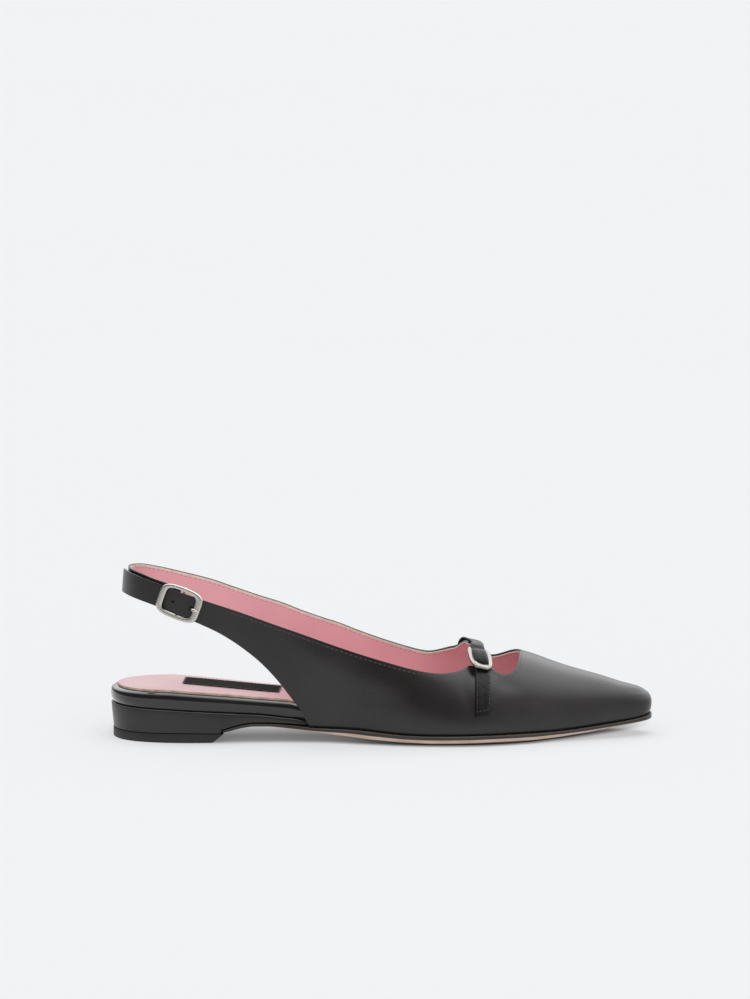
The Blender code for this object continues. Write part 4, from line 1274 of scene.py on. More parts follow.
    def tail_place(self, distance: float) -> tuple[np.ndarray, np.ndarray]:
        """Point of the tail's outer face at its middle height, and the outward direction there."""
        rows = np.array(TAIL_RIBS)
        low = np.interp(distance, rows[:, 0], rows[:, 1])
        high = np.interp(distance, rows[:, 2], rows[:, 3])
        height = np.array([0.5 * (low + high)])
        turn = np.array([distance / self.last.skin.half_length])
        point = self.last.point(turn, self.last.rise_at(turn, height))[0]
        upright = self.last.point(turn, self.last.rise_at(turn, height + 1.0))[0] - point
        out = self.last.skin.outward(turn)[0]
        point[:2] += out * TAIL_STAND_OFF
        return point, np.cross([-out[1], out[0], 0.0], upright)

    def punch(self, item: Piece, places: Sequence[tuple[np.ndarray, np.ndarray, float]]) -> None:
        """Punch round holes through a layer.

        Args:
            item: the layer.
            places: middle, direction and radius of each hole.
        """
        for spot, way, radius in places:
            punch = round_bar("punch", spot, way, radius, self.punch_depth)
            cut = item.modifiers.new("hole", "BOOLEAN")
            cut.operation = "DIFFERENCE"
            cut.solver = "EXACT"
            cut.object = punch
            pick(item)
            bpy.ops.object.modifier_apply(modifier=cut.name)
            bpy.data.objects.remove(punch, do_unlink=True)

    def build(self, holes: Sequence[tuple[np.ndarray, np.ndarray, float]]) -> None:
        """Build the leather, the lining and the stitches.

        Args:
            holes: middle, direction and radius of the holes in the billet's tail.
        """
        leather = self.shell("upper_leather", 0.0, self.leather, [UPPER_LEATHER] * 3)
        add_bevel(leather, self.edge_round, 2)
        apply_all(leather)
        self.punch(leather, holes)
        smooth(leather, 45.0)
        dress(leather, "upper", replaces=["upper"])
        lining = self.shell("upper_lining", self.leather + self.layer_gap, self.lining, (
            UPPER_LEATHER, LINING_LEATHER, RAW_EDGE, *[UPPER_LEATHER] * 3, UPPER_LEATHER, RAW_EDGE, RAW_EDGE))
        apply_all(lining)
        smooth(lining, 45.0)
        dress(lining, "upper")
        starts = list(zip(Side, self.first_stitched_ribs))
        outer, inner = ([self.topline(side, face, first) for side, first in starts] for face in Face)
        dress(Stitching().sew("topline_stitches", outer), "upper", BLACK_THREAD)
        dress(Stitching(width=0.4, height=0.26).sew("lining_stitches", inner), "upper", PINK_THREAD)


@dataclass(frozen=True)
class Crease:
    """A soft trough or ridge on the upper, by its middle, slope, half length, half width and depth."""

    side: Side
    x: float
    z: float
    slope_deg: float
    length: float
    width: float
    depth: float

    def depth_at(self, x: np.ndarray, z: np.ndarray) -> np.ndarray:
        """How far the surface moves outwards at some lengths and heights."""
        c, s = math.cos(math.radians(self.slope_deg)), math.sin(math.radians(self.slope_deg))
        ahead = ((x - self.x) * c + (z - self.z) * s) / self.length
        across = ((z - self.z) * c - (x - self.x) * s) / self.width
        return self.depth * np.exp(-ahead**2 - across**2)


CREASES = (
    Crease(Side.LATERAL, 60.0, 29.0, -20.0, 7.0, 3.2, -0.42),
    Crease(Side.LATERAL, 55.0, 24.0, 62.0, 8.0, 3.0, -0.31),
    Crease(Side.LATERAL, 41.0, 24.0, 105.0, 9.0, 3.4, -0.34),
    Crease(Side.LATERAL, 28.0, 27.0, -8.0, 11.0, 4.0, -0.2),
    Crease(Side.LATERAL, 2.0, 22.0, -18.0, 16.0, 6.0, -0.22),
    Crease(Side.LATERAL, -28.0, 40.0, -30.0, 14.0, 5.0, 0.28),
    Crease(Side.MEDIAL, 43.0, 44.6, 0.0, 8.0, 4.5, 1.25),
    Crease(Side.MEDIAL, 58.0, 29.0, -24.0, 8.0, 3.6, -0.39),
    Crease(Side.MEDIAL, 30.0, 25.0, -6.0, 14.0, 5.0, -0.35),
    Crease(Side.MEDIAL, -8.0, 26.0, -20.0, 16.0, 6.0, -0.35),
)


@dataclass
class InstepStrap:
    """The instep strap, from the outside of the medial peak, through its buckle, to the tail's slanted end.

    Places along it are swings in degrees over the instep: 0 at the medial feather edge, 90 at the ridge. The
    hump is how far it rises off the last, by swing. It is thinner over its root and narrower over its crest.
    """

    last: ShoeLast
    width: float = 6.9
    thickness: float = STRAP_THICKNESS
    rows: int = 150
    across: int = 12
    tail_ends: tuple[float, float] = (14.1, 15.8)
    edge_thin: float = 0.4
    hump: tuple[tuple[float, float], ...] = (
        (0.0, 0.0), (52.0, 0.0), (66.0, 0.4), (86.0, 0.4), (93.0, 0.6), (99.0, 1.3), (104.0, 2.3),
        (108.0, 2.3), (110.5, 1.75), (112.5, 2.3), (115.5, 3.15), (121.0, 3.25), (125.0, 2.5), (127.5, 1.4),
        (130.0, 0.3), (132.0, 0.0), (180.0, 0.0))
    crinkle: float = 0.05
    slant_start: float = 0.8
    edge_round: float = 0.22
    stitch_margin: int = 4
    root: tuple[float, ...] = (52.0, 68.0, 92.0, 107.0)
    root_thin: float = 0.9
    crest: tuple[float, ...] = (80.0, 91.0, 95.0, 107.0)
    crest_shift: float = 1.7
    crest_width: float = 5.6

    def rise_rows(self) -> np.ndarray:
        """Swing of each row over the instep, from the medial base to the tail."""
        base = self.last.find(Side.MEDIAL, STRAP_DRIFT[1][1], STRAP_MEDIAL_END)[1]
        tail = self.last.find(Side.LATERAL, STRAP_DRIFT[0][1], STRAP_TAIL_END)[1]
        return np.linspace(base, math.pi - tail, self.rows)

    def middle_length(self, side: Side, rise: float) -> float:
        """Length at which the strap's middle line crosses a rise."""
        x = STRAP_DRIFT[1][1]
        for _ in range(3):
            turn = self.last.feather_turn(side, np.array([x]))
            x = along(STRAP_DRIFT, self.last.point(turn, np.array([rise]))[0][1])
        return x

    @staticmethod
    def share(swing: np.ndarray, ends: tuple[float, ...]) -> np.ndarray:
        """How far some swings in degrees belong to a stretch with soft ends, from 0 to 1."""
        return soft_step(np.interp(swing, ends, (0.0, 1.0, 1.0, 0.0)))

    def skin(self, places: np.ndarray) -> tuple[np.ndarray, np.ndarray, np.ndarray]:
        """The last's skin under the strap.

        Args:
            places: places across the strap, from -0.5 to 0.5.

        Returns:
            Points and outward directions by row and place, and the swing of each row in degrees.
        """
        swing = self.rise_rows()
        tail_rises = [self.last.find(Side.LATERAL, STRAP_DRIFT[0][1], z)[1] for z in self.tail_ends]
        grid = []
        for number, angle in enumerate(swing):
            side = Side.MEDIAL if angle <= math.pi / 2 else Side.LATERAL
            rise = min(angle, math.pi - angle)
            ease = float(np.interp(number / (self.rows - 1), (self.slant_start, 1.0), (0.0, 1.0)))
            ends = np.interp(places, (-0.5, 0.5), tail_rises) - (math.pi - swing[-1])
            crest = self.share(math.degrees(angle), self.crest)
            width = self.width + crest * (self.crest_width - self.width)
            lengths = self.middle_length(side, rise) + crest * self.crest_shift + places * width
            turns = self.last.feather_turn(side, lengths)
            grid.append(self.last.point(turns, rise + ends * ease))
        grid = np.array(grid)
        normal = unit(np.cross(np.gradient(grid, axis=0), np.gradient(grid, axis=1)))
        if normal[self.rows // 3, len(places) // 2, 2] < 0.0:
            normal = -normal
        return grid, normal, np.degrees(swing)

    def place(self, low: float, high: float, lift: float) -> tuple[np.ndarray, ...]:
        """Places of a buckle on the strap's outer face.

        Args:
            low: rise of its lower bar in degrees on the lateral side.
            high: rise of its upper bar.
            lift: how far the points lie off the last.

        Returns:
            Points at the upper bar and the lower bar, and the outward direction between them.
        """
        grid, normal, swing = self.skin(np.array([-0.5, 0.0, 0.5]))
        skin = grid + normal * lift
        middle = 0.5 * (low + high)
        picks = [rows_at(180.0 - value, swing, skin[:, 1]) for value in (high, low)]
        return (*picks, rows_at(180.0 - middle, swing, normal[:, 1]))

    def build(self) -> None:
        """Build the strap, its two rows of stitches and the row across its tail."""
        places = np.linspace(-0.5, 0.5, self.across + 1)
        grid, normal, swing = self.skin(places)
        rise = smooth_rows(self.hump, 6)
        hump = np.interp(swing, rise[:, 0], rise[:, 1])
        edge = np.abs(2.0 * places) ** 6
        row = np.arange(self.rows)[:, None]
        ripple = self.crinkle * (np.sin(row * 0.43 + 6.0 * places) * np.sin(row * 0.17 - 4.0 * places + 1.0)
                                 + 0.5 * np.sin(row * 0.9 - 9.0 * places))
        thin = self.root_thin * self.share(swing, self.root)[:, None]
        low = grid + normal * (GAP + thin + hump[:, None] * (1.0 - 0.3 * edge))[:, :, None]
        top = self.thickness - thin - self.edge_thin * edge * (1.0 - thin) + ripple * (1.0 - edge)
        high = low + normal * top[:, :, None]
        loops = np.concatenate([low, high[:, ::-1]], axis=1)
        item = loft_piece("instep_strap_leather", loops)
        add_bevel(item, self.edge_round, 2, 60.0)
        apply_all(item)
        smooth(item, 45.0)
        dress(item, "strap", STRAP_LEATHER, replaces=["instep_strap"])
        sewn = slice(self.stitch_margin, -self.stitch_margin)
        lines = [(high[sewn, spot], normal[sewn, spot]) for spot in (1, self.across - 1)]
        end = -self.stitch_margin - 1
        lines.append((high[end, 2:-2], normal[end, 2:-2]))
        thread = Stitching(pitch=1.9, length=1.35, width=0.36, height=0.3)
        dress(thread.sew("strap_stitches", lines), "strap", BLACK_THREAD)


@dataclass
class Buckle:
    """A buckle: a rounded frame with a centre bar behind its strap.

    The bars are the widths of its back, front, upper and lower side. Bow and squareness are given for the
    outside and for the window. The groove lies in the front bar.
    """

    name: str
    sizes: tuple[float, ...]
    place: Matrix
    bar_drop: float
    bars: tuple[float, float, float, float]
    bow: tuple[float, float] = (0.9, 0.45)
    squareness: tuple[float, float] = (4.6, 5.6)
    back_bow: float = 1.0
    groove: float = 0.0
    groove_ends: tuple[float, float] = (0.36, 0.44)
    finish: Finish = NICKEL
    around: int = 128
    section: int = 24

    def ring(self, angle: np.ndarray, length: float, width: float, number: int) -> np.ndarray:
        """Points of a rounded outline with bowed long sides.

        Args:
            angle: angles round the outline.
            length: its whole length.
            width: its whole width at the middle.
            number: 0 for the outside of the frame, 1 for its window.

        Returns:
            One point for each angle.
        """
        power, bow = self.squareness[number], self.bow[number]
        c, s = np.cos(angle), np.sin(angle)
        x = np.sign(c) * np.abs(c) ** (2.0 / power)
        y = np.sign(s) * np.abs(s) ** (2.0 / power)
        bow = np.where(x < 0.0, self.back_bow * bow, bow)
        return np.stack([0.5 * length * x, y * (0.5 * width - bow * x**2)], axis=1)

    def frame(self) -> Piece:
        """The frame: a ring whose section is drawn out to a flat bar with rounded edges."""
        length, width, _, _, thickness, _ = self.sizes
        back, front, upper, lower = self.bars
        deselect_all()
        bpy.ops.mesh.primitive_torus_add(major_segments=self.around, minor_segments=self.section)
        item = named(self.name + "_frame")
        angle = 2.0 * math.pi * np.arange(self.around) / self.around + 0.5 * math.pi / self.around
        outer = self.ring(angle, length, width, 0)
        inner = self.ring(angle, length - back - front, width - upper - lower, 1)
        inner += np.array([0.5 * (back - front), 0.5 * (lower - upper)])
        points = []
        for i in range(self.around):
            end_bar = float(np.interp(outer[i][0] / length, self.groove_ends, (0.0, 1.0)))
            for k in range(self.section):
                turn = 2.0 * math.pi * k / self.section
                c, s = math.cos(turn), math.sin(turn)
                share = 0.5 + 0.5 * math.copysign(abs(c) ** 0.5, c)
                level = 0.5 * thickness * math.copysign(abs(s) ** 0.5, s)
                level -= self.groove * end_bar * max(0.0, 1.0 - 0.5 * abs(k - self.section // 4))
                plan = inner[i] + (outer[i] - inner[i]) * share
                points.append((*plan, level))
        set_points(item, np.array(points) * MM)
        return item

    def rod(self, start: Sequence[float], end: Sequence[float], radius: float) -> Piece:
        """A rod with rounded ends between two points of the buckle's own frame."""
        middle, way = (Vector(start) + Vector(end)) * 0.5, Vector(end) - Vector(start)
        item = round_bar(self.name + "_rod", middle, way, radius, way.length)
        add_bevel(item, 0.3 * radius, 2)
        apply_all(item)
        return item

    def build(self) -> None:
        """Build the frame with its centre bar and posts."""
        _, width, _, window_width, _, bar_radius = self.sizes
        reach = 0.25 * (width + window_width)
        bar_ends = [(0.0, sign * reach, self.bar_drop) for sign in (-1.0, 1.0)]
        pieces = [self.frame(), self.rod(*bar_ends, bar_radius)]
        for sign in (-1.0, 1.0):
            foot = (0.0, sign * reach, self.bar_drop - 0.8 * bar_radius)
            pieces.append(self.rod(foot, (0.0, sign * reach, 0.0), bar_radius))
        item = join_pieces(self.name + "_metal", pieces)
        item.data.transform(self.place)
        edit_all(item, lambda: bpy.ops.mesh.normals_make_consistent(inside=False))
        smooth(item, 60.0)
        dress(item, "buckle", self.finish, replaces=[self.name])


def buckle_place(start: np.ndarray, end: np.ndarray, out: np.ndarray, lift: float,
                 raised: float = 0.0) -> Matrix:
    """Place of a buckle.

    Args:
        start: point under its back bar.
        end: point under its front bar.
        out: direction out of the shoe.
        lift: how far its middle stands off the strap.
        raised: how far it is moved across the strap.

    Returns:
        Its matrix in metres: x along the strap, z out of the shoe.
    """
    x_axis = (Vector(end) - Vector(start)).normalized()
    z_axis = Vector(out)
    z_axis = (z_axis - x_axis * z_axis.dot(x_axis)).normalized()
    y_axis = z_axis.cross(x_axis)
    place = Matrix((x_axis, y_axis, z_axis)).transposed().to_4x4()
    place.translation = ((Vector(start) + Vector(end)) * 0.5 + z_axis * lift + y_axis * raised) * MM
    return place


@dataclass
class HeelFastening:
    """The heel buckle on the billet's tail, its prong and the tail's holes."""

    upper: Upper
    hole_radius: float = 0.7
    prong_hole_radius: float = 1.1
    hole_step: float = 9.0
    prong_flatness: float = 1.15
    prong_sides: int = 14
    place: Matrix = field(init=False)
    strap_out: float = field(init=False)
    bar_drop: float = field(init=False)

    def __post_init__(self) -> None:
        """Work out the buckle's place on the tail."""
        start, _ = self.upper.tail_place(HEEL_BARS[0])
        end, _ = self.upper.tail_place(HEEL_BARS[1])
        middle, out = self.upper.tail_place(HEEL_BAR_TURN)
        self.place = buckle_place(start, end, out, 0.5 * HEEL_FRAME[4] + HEEL_FRAME_LIFT, HEEL_FRAME_RAISE)
        self.strap_out = (self.place.inverted() @ (Vector(middle) * MM)).z / MM
        self.bar_drop = self.strap_out - WALL - GAP - HEEL_FRAME[5]

    def holes(self) -> list[tuple[np.ndarray, np.ndarray, float]]:
        """Middle, direction and radius of the prong's hole and the spare one."""
        way = np.array(self.place.to_3x3() @ Vector((0.0, 0.0, 1.0)))
        pair = ((PRONG_HOLE, self.prong_hole_radius), (PRONG_HOLE - self.hole_step, self.hole_radius))
        found = []
        for x, radius in pair:
            spot = self.place @ (Vector((x, -HEEL_FRAME_RAISE, self.strap_out)) * MM)
            found.append((np.array(spot) / MM, way, radius))
        return found

    def prong(self) -> None:
        """The prong: a bar drawn along its bends, with a rounded tip."""
        top = 0.5 * HEEL_FRAME[4] + GAP + PRONG_RADIUS
        tip = 0.5 * HEEL_FRAME[0] - PRONG_TIP_MARGIN
        bar_radius = HEEL_FRAME[5]
        route = ((bar_radius + GAP + PRONG_RADIUS, self.bar_drop),
                 (PRONG_HOLE - PRONG_BEND[0], self.bar_drop),
                 (PRONG_HOLE, self.strap_out - PRONG_DEPTH),
                 (PRONG_HOLE + PRONG_BEND[1], top - 0.15),
                 (tip, top))
        line = smooth_rows(route, 8)
        way = unit(np.gradient(line, axis=0))
        loops = []
        for number, ((x, z), (dx, dz)) in enumerate(zip(line, way)):
            ends = min(number, len(line) - 1 - number)
            radius = PRONG_RADIUS * min(1.0, 0.35 + 0.25 * ends)
            ring = []
            for angle in np.linspace(0.0, 2.0 * math.pi, self.prong_sides, endpoint=False):
                side, up = radius * math.cos(angle) * self.prong_flatness, radius * math.sin(angle)
                ring.append((x - dz * up, side - HEEL_FRAME_RAISE, z + dx * up))
            loops.append(ring)
        item = loft_piece("heel_buckle_prong_metal", np.array(loops))
        item.data.transform(self.place)
        dress(item, "buckle", NICKEL, replaces=["heel_buckle_prong"])

    def build(self) -> None:
        """Build the buckle and the prong."""
        Buckle("heel_buckle", HEEL_FRAME, self.place, self.bar_drop, bars=(3.0, 3.4, 1.75, 1.75)).build()
        self.prong()


@dataclass
class InstepFastening:
    """The small buckle of the instep strap; its upper bar lies under the strap, its lower one over it."""

    strap: InstepStrap
    turns_deg: tuple[float, float, float] = (-8.0, -8.0, -4.0)
    shift: tuple[float, float, float] = (-1.6, 0.0, -0.6)
    longer: float = 3.0
    bar_drop: float = -0.7

    def build(self) -> None:
        """Build the buckle on the lateral slope of the instep."""
        high, low, out = self.strap.place(*INSTEP_BUCKLE_RISE, GAP + STRAP_THICKNESS)
        place = buckle_place(high, low, out, 0.5 * INSTEP_FRAME[4] + INSTEP_FRAME_LIFT)
        for axis, degrees in zip("YXZ", self.turns_deg):
            place = place @ Matrix.Rotation(math.radians(degrees), 4, axis)
        place.translation += place.to_3x3() @ (Vector(self.shift) * MM)
        sizes = (INSTEP_FRAME[0] + self.longer, *INSTEP_FRAME[1:])
        Buckle("instep_buckle", sizes, place, self.bar_drop, bars=(2.0, 3.0, 2.1, 2.9), bow=(2.0, 1.3),
               squareness=(7.5, 7.0), back_bow=0.25, groove=0.6, finish=DIMMED_NICKEL).build()


def rungs(start: float, end: float, count: int) -> np.ndarray:
    """Turns from start to end, closer together at the two ends."""
    return start + (end - start) * 0.5 * (1.0 - np.cos(np.linspace(0.0, math.pi, count)))


@dataclass
class SoleUnit:
    """Everything below the upper: outsole, heel block, top lift, insole rim, sock and label."""

    last: ShoeLast
    count: int = 170
    wedge_count: int = 40
    taper_run: float = 16.0
    sock_margin: float = 1.0
    sock_end: float = 0.985
    raw_rows: float = 3.2
    rag: tuple[float, float] = (0.09, 0.06)
    padding: float = 0.8
    seat_ends: tuple[float, float] = (-45.0, -18.0)
    tan_ends: tuple[float, float, float, float] = (-52.0, -18.0, 84.0, 127.0)
    tan_shares: tuple[float, float, float, float] = (0.06, 1.0, 1.0, 0.3)
    wheeled_highlight_share: float = 0.16
    label_middle: tuple[float, float] = (-71.6, 4.4)
    label_size: tuple[float, float] = (46.0, 18.6)
    label_turn_deg: float = -3.0
    label_thickness: float = 0.4
    label_lift: float = 0.06
    zigzag_step: float = 0.85
    zigzag_width: float = 0.55
    zigzag_lift: float = 0.52

    def sides(self, curve: ClosedCurve, share: float, inset: float) -> tuple[np.ndarray, np.ndarray]:
        """Lateral and medial plan points of a curve at a share of its length, moved inwards."""
        return curve.inset(np.array([share]), inset)[0], curve.inset(np.array([-share]), inset)[0]

    def loop(self, curve: ClosedCurve, share: float, profile: Sequence[Sequence[float]]) -> np.ndarray:
        """A closed section across the shoe.

        Args:
            curve: the outline in plan.
            share: place along the shoe.
            profile: inset and height of the points from bottom to top.

        Returns:
            The points, up the lateral side and down the medial side.
        """
        pairs = [(*self.sides(curve, share, inset), height) for inset, height in profile]
        lateral = [(*near, height) for near, _, height in pairs]
        medial = [(*far, height) for _, far, height in pairs]
        return np.array(lateral + medial[::-1])

    def seat_lift(self, x: np.ndarray) -> np.ndarray:
        """How much fuller the padded heel seat is than its solid, by length."""
        return np.interp(x, self.seat_ends, (self.padding, 0.0))

    def length_at(self, curve: ClosedCurve, share: float) -> float:
        """Length at a share of a curve."""
        near, far = self.sides(curve, share, 0.0)
        return 0.5 * float(near[0] + far[0])

    def rim(self) -> None:
        """The insole board, wrapped in patent leather, with its rolled edge."""
        profile = smooth_rows(RIM_PROFILE, 7)
        loops = []
        for share in rungs(0.0, 1.0, self.count):
            x = self.length_at(self.last.insole, share)
            low, high = self.last.rim_under(x), along(RIM_TOP, x) + self.seat_lift(x)
            shaped = [(inset, low + (high - low) * part) for inset, part in profile]
            loops.append(self.loop(self.last.insole, share, shaped))
        board = loft_piece("insole_rim_patent", np.array(loops))
        dress(board, "rim", PATENT_LEATHER, replaces=["insole_rim"])

    def sock(self) -> None:
        """The pink sock with its raw cut edge."""
        loops = []
        for number, share in enumerate(rungs(0.0, self.sock_end, self.count)):
            x = self.length_at(self.last.insole, share)
            low = along(RIM_TOP, x) + self.seat_lift(x) + 0.5 * GAP
            ragged = self.rag[0] * math.sin(number * 1.7) + self.rag[1] * math.sin(number * 0.61 + 1.0)
            edge = SOCK_INSET + self.sock_margin + ragged
            shaped = [(edge + inset, low + (0.5 * GAP + SOCK_THICKNESS) * part)
                      for inset, part in SOCK_PROFILE]
            loops.append(self.loop(self.last.insole, share, shaped))
        count = len(SOCK_PROFILE)

        def paint(_: Vector, place: float) -> int:
            """Raw edge on the sides, leather on top."""
            return 1 if min(place, 2 * count - 1 - place) < self.raw_rows else 0

        dress(loft_piece("insole_sock_leather", np.array(loops), paint), "sock", SOCK_LEATHER, SOCK_EDGE,
              replaces=["insole_sock"])

    def heel(self) -> None:
        """The heel block with its wedge."""
        curve = self.last.insole
        breast, wedge = curve.turn_of(BREAST - 3.0 * GAP), curve.turn_of(BREAST - GAP)
        tip = curve.turn_of(WEDGE_TIP)
        shares = [*rungs(0.0, breast, self.count // 2), *np.linspace(wedge, tip, self.wedge_count)]
        loops = []
        for share in shares:
            x = self.length_at(curve, share)
            low = LIFT_HEIGHT + GAP if share <= breast else self.last.sole_top(x) + 2.0 * GAP
            taper = HEEL_TAPER * float(np.interp(x, (BREAST - self.taper_run, BREAST), (1.0, 0.0)))
            high = along(RIM_UNDER, x) - GAP
            step = min(HEEL_ROUND, 0.4 * (high - low))
            loops.append(self.loop(curve, share, (
                (HEEL_INSET + taper + 0.12, low), (HEEL_INSET + taper, low + 0.1 * step),
                (HEEL_INSET + 0.5 * taper - 0.1, 0.5 * (low + high)),
                (HEEL_INSET, high - step), (HEEL_INSET + 0.12, high - 0.4 * step),
                (HEEL_INSET + 0.4, high - 0.1 * step), (HEEL_INSET + 0.8, high))))
        rows = len(loops[0]) // 2

        def paint(_: Vector, place: float) -> int:
            """Painted highlight line along the top edge, leather elsewhere."""
            return 1 if 4.0 < min(place, 2 * rows - 1 - place) < 5.0 else 0

        dress(loft_piece("heel_block_leather", np.array(loops), paint), "heel", HEEL_LEATHER, HEEL_EDGE_PAINTED_HIGHLIGHT,
              replaces=["heel_block"])

    def lift(self) -> None:
        """The rubber top lift with its slanted front."""
        curve = self.last.insole
        profile = ((LIFT_INSET + 0.3, 0.0), (LIFT_INSET + 0.08, 0.12), (LIFT_INSET, 0.4),
                   (LIFT_INSET, LIFT_HEIGHT - 0.2), (LIFT_INSET + 0.1, LIFT_HEIGHT))
        loops = [self.loop(curve, share, profile)
                 for share in rungs(0.0, curve.turn_of(LIFT_FRONT_BOTTOM - 1.0), self.count // 2)]
        front = self.loop(curve, curve.turn_of(LIFT_FRONT_BOTTOM), profile)
        front[:, 0] = np.interp(front[:, 2], (0.0, LIFT_HEIGHT), (LIFT_FRONT_BOTTOM, LIFT_FRONT_TOP))
        dress(loft_piece("top_lift_rubber", np.array([*loops, front])), "lift", LIFT_RUBBER,
              replaces=["top_lift"])

    def sole_sides(self, share: float) -> tuple[np.ndarray, np.ndarray]:
        """Lateral and medial plan points of the outsole, on the heel seat behind the waist."""
        near, far = self.sides(self.last.skin, share, -SOLE_REACH)
        blend = float(np.interp(0.5 * (near[0] + far[0]), SEAT_SOLE_ENDS, (0.0, 1.0)))
        seat_near = np.array([near[0], along(SEAT_SOLE, near[0], 1)])
        seat_far = np.array([far[0], along(SEAT_SOLE, far[0], 2)])
        return seat_near + (near - seat_near) * blend, seat_far + (far - seat_far) * blend

    def outsole(self) -> None:
        """Outsole: wheeled top edge with painted highlight, painted band, tan bevel, tread in painted shade.
        """
        loops = []
        for share in rungs(self.last.skin.turn_of(BREAST), 1.0, self.count):
            near, far = self.sole_sides(share)
            width = max(float(np.linalg.norm(far - near)), 0.001)
            x = 0.5 * (near[0] + far[0])
            top, under = self.last.sole_top(x), along(SOLE_UNDER, x)
            low_edge = min(under + along(SOLE_BELLY, x), top - EDGE_LEAST)
            tan = float(np.interp(x, self.tan_ends, self.tan_shares))
            step = low_edge + EDGE_STEP * tan * (top - low_edge)
            line = self.wheeled_highlight_share * (top - low_edge)
            tread = TREAD_INSET * width
            profile = ((min(4.0, 0.3 * width), top), (0.45, top), (0.16, top - 0.05), (0.0, top - line),
                       (0.0, 0.5 * (top - line + step)), (0.02, step), (0.14, step - 0.3 * (step - low_edge)),
                       (EDGE_BEVEL, low_edge), (0.4 * tread + 0.3, low_edge + 0.62 * (under - low_edge)),
                       (0.75 * tread + 0.2, low_edge + 0.92 * (under - low_edge)), (tread + 0.2, under))
            way = (far - near) / width
            lateral = [(*(near + way * min(inset, 0.49 * width)), z) for inset, z in profile]
            medial = [(*(far - way * min(inset, 0.49 * width)), z) for inset, z in profile]
            loops.append(lateral + medial[::-1])
        rows = len(profile)

        def paint(spot: Vector, place: float) -> int:
            """Painted band, tan bevel, tread in painted shade, wheeled line with painted highlight."""
            step = min(place, 2 * rows - 1 - place)
            if 2.0 <= step < 3.0:
                return 2
            if step < 5.0 or (step < 7.0 and not self.tan_ends[0] < spot.x < self.tan_ends[-1]):
                return 0
            return 1 if step < 7.0 else 3

        dress(loft_piece("outsole_leather", np.array(loops), paint), "sole", PAINTED_EDGE, SOLE_LEATHER,
              WHEELED_LINE_AND_HIGHLIGHT, SOLE_LEATHER_IN_PAINTED_SHADE, replaces=["outsole"])

    def seat_height(self, x: np.ndarray) -> np.ndarray:
        """Height of the sock's top at some lengths."""
        rows = np.array(RIM_TOP)
        top = np.interp(x, rows[:, 0], rows[:, 1]) + self.seat_lift(x)
        return top + 0.5 * GAP + (0.5 * GAP + SOCK_THICKNESS) * SOCK_PROFILE[-1][1]

    def on_sock(self, a: np.ndarray, b: np.ndarray, lift: float) -> np.ndarray:
        """Points of the label laid on the sock.

        Args:
            a: places along the label from its middle.
            b: places across it.
            lift: how far the points lie off the sock.

        Returns:
            One point for each place.
        """
        turn = math.radians(self.label_turn_deg)
        x = self.label_middle[0] + a * math.cos(turn) - b * math.sin(turn)
        y = self.label_middle[1] + a * math.sin(turn) + b * math.cos(turn)
        return np.stack([x, y, self.seat_height(x) + lift], axis=-1)

    def label(self) -> None:
        """The plain woven label on the sock, with zigzag stitches at its edges."""
        half_a, half_b = 0.5 * self.label_size[0], 0.5 * self.label_size[1]
        a, b = np.meshgrid(np.linspace(-half_a, half_a, 47), np.linspace(-half_b, half_b, 20), indexing="ij")
        item = sheet_piece("sock_label", self.on_sock(a, b, self.label_lift))
        wall = item.modifiers.new("cloth", "SOLIDIFY")
        wall.thickness = self.label_thickness * MM
        wall.offset = 1.0
        add_bevel(item, 0.12, 2)
        apply_all(item)
        smooth(item)
        dress(item, "sock", LABEL_CLOTH)
        rows = []
        for start, end, sway in (((-half_a, -half_b), (half_a, -half_b), (0, 1)),
                                 ((-half_a, half_b), (half_a, half_b), (0, 1)),
                                 ((-half_a, -half_b), (-half_a, half_b), (1, 0)),
                                 ((half_a, -half_b), (half_a, half_b), (1, 0))):
            steps = int(math.dist(start, end) / self.zigzag_step)
            zig = self.zigzag_width * np.where(np.arange(steps + 1) % 2, 1.0, -1.0)
            a, b = (np.linspace(start[k], end[k], steps + 1) + sway[k] * zig for k in range(2))
            line = self.on_sock(a, b, self.zigzag_lift)
            rows += [(line[i:i + 2], np.array([[0.0, 0.0, 1.0]] * 2)) for i in range(steps)]
        thread = Stitching(pitch=1.3, length=1.45, width=0.3, height=0.26)
        dress(thread.sew("label_stitches", rows), "sock", BLACK_THREAD)

    def build(self) -> None:
        """Build the pieces from the floor up."""
        self.lift()
        self.heel()
        self.outsole()
        self.rim()
        self.sock()
        self.label()


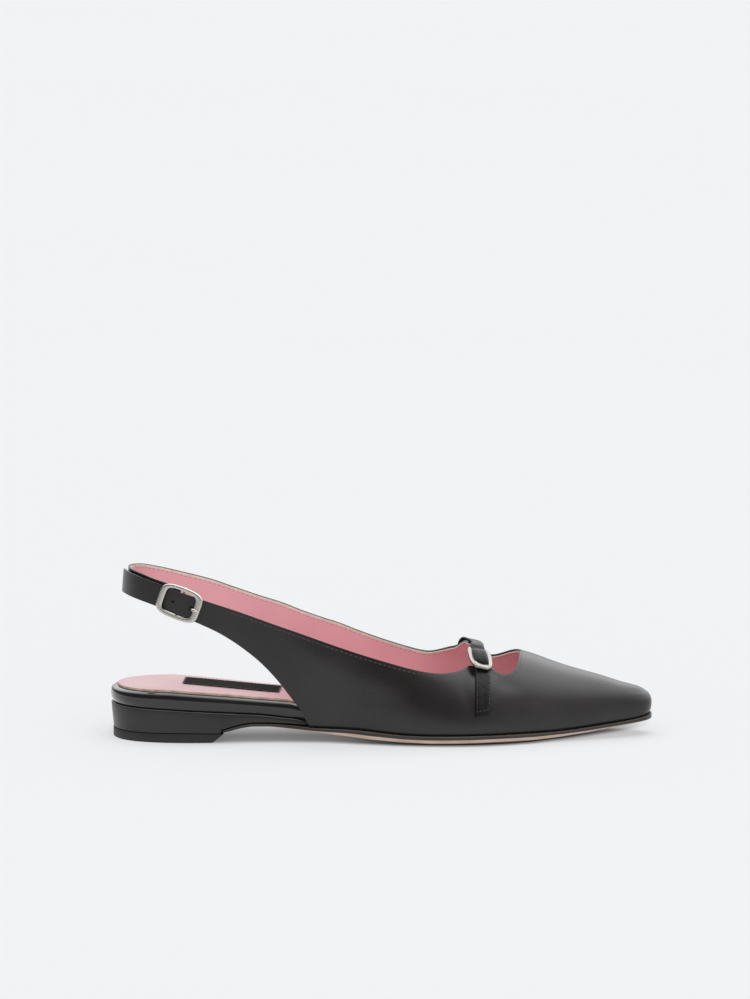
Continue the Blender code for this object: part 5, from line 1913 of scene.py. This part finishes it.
@dataclass
class Studio:
    """Pale floor, soft light from above and behind, and the camera.

    Glossy finishes mirror surroundings of their own: dark in front, bright above and behind, with a weak glow
    from the toe's side. The suns are given by strength, width and tilt.
    """

    lens: float = 224.54
    spot: tuple[float, float, float] = (0.0, -2.9622, 0.5045)
    tilt_deg: tuple[float, float, float] = (82.489, 0.0, 0.055)
    floor_size: float = 60.0
    sensor: float = 36.0
    far_clip: float = 200.0
    world: float = 0.34
    world_tint: Colour = (0.985, 0.99, 1.0)
    mirrored: tuple[float, float] = (0.115, 2.3)
    mirrored_way: tuple[float, float, float] = (0.12, 0.45, 1.0)
    mirrored_ends: tuple[float, float] = (0.385, 0.965)
    toe_glow: tuple[float, float] = (0.0, 0.68)
    toe_ends: tuple[float, float] = (0.1, 0.8)
    top_sun: tuple[float, float, float] = (1.15, 62.0, -24.0)
    front_sun: tuple[float, float, float] = (1.5, 90.0, 44.0)

    def sun(self, name: str, strength: float, angle_deg: float, tilt_deg: float) -> None:
        """A wide soft light from far away that the finishes do not mirror.

        Args:
            name: name of the light.
            strength: its strength.
            angle_deg: how wide it is.
            tilt_deg: its tilt from straight above, towards the camera's side.
        """
        bpy.ops.object.light_add(type="SUN", rotation=(math.radians(tilt_deg), 0.0, 0.0))
        light = bpy.context.object
        light.name = name
        light.data.energy = strength
        light.data.angle = math.radians(angle_deg)
        light.visible_glossy = False

    def build(self) -> None:
        """Build the floor, the lights and the camera."""
        deselect_all()
        bpy.ops.mesh.primitive_plane_add(size=self.floor_size)
        floor = named("floor")
        floor.data.materials.append(FLOOR_PAPER.material())
        scene = bpy.context.scene
        scene.view_settings.view_transform = "Standard"
        scene.world = scene.world or bpy.data.worlds.new("studio")
        scene.world.use_nodes = True
        sheet = NodeSheet(scene.world.node_tree)
        sky = scene.world.node_tree.nodes["Background"]
        sky.inputs["Color"].default_value = (*self.world_tint, 1.0)
        path = scene.world.node_tree.nodes.new("ShaderNodeLightPath")
        way = sheet.add("ShaderNodeVectorMath", {"operation": "DOT_PRODUCT"})
        toward = scene.world.node_tree.nodes.new("ShaderNodeTexCoord").outputs["Generated"]
        sheet.give(way.inputs[0], toward)
        way.inputs[1].default_value = self.mirrored_way
        above = sheet.spread(way.outputs["Value"], *self.mirrored, *self.mirrored_ends)
        ahead = sheet.add("ShaderNodeSeparateXYZ", None, Vector=toward).outputs["X"]
        mirrored = sheet.maths("ADD", above, sheet.spread(ahead, *self.toe_glow, *self.toe_ends))
        glossy = path.outputs["Is Glossy Ray"]
        plain = sheet.maths("MULTIPLY", sheet.maths("SUBTRACT", 1.0, glossy), self.world)
        strength = sheet.maths("ADD", plain, sheet.maths("MULTIPLY", glossy, mirrored))
        sheet.give(sky.inputs["Strength"], strength)
        self.sun("soft_top_light", *self.top_sun)
        self.sun("front_fill", *self.front_sun)
        bpy.ops.object.camera_add(location=self.spot, rotation=[math.radians(a) for a in self.tilt_deg])
        camera = bpy.context.object
        camera.data.lens = self.lens
        camera.data.sensor_width = self.sensor
        camera.data.clip_end = self.far_clip
        scene.camera = camera
        LOG.info("studio: floor, lights, camera")


def main() -> None:
    """Build the shoe and its studio, piece by piece."""
    logging.basicConfig(level=logging.INFO, format="%(message)s")
    last = ShoeLast()
    SoleUnit(last).build()
    upper = Upper(last)
    fastening = HeelFastening(upper)
    upper.build(fastening.holes())
    fastening.build()
    strap = InstepStrap(last)
    strap.build()
    InstepFastening(strap).build()
    Studio().build()


if __name__ == "__main__":
    main()
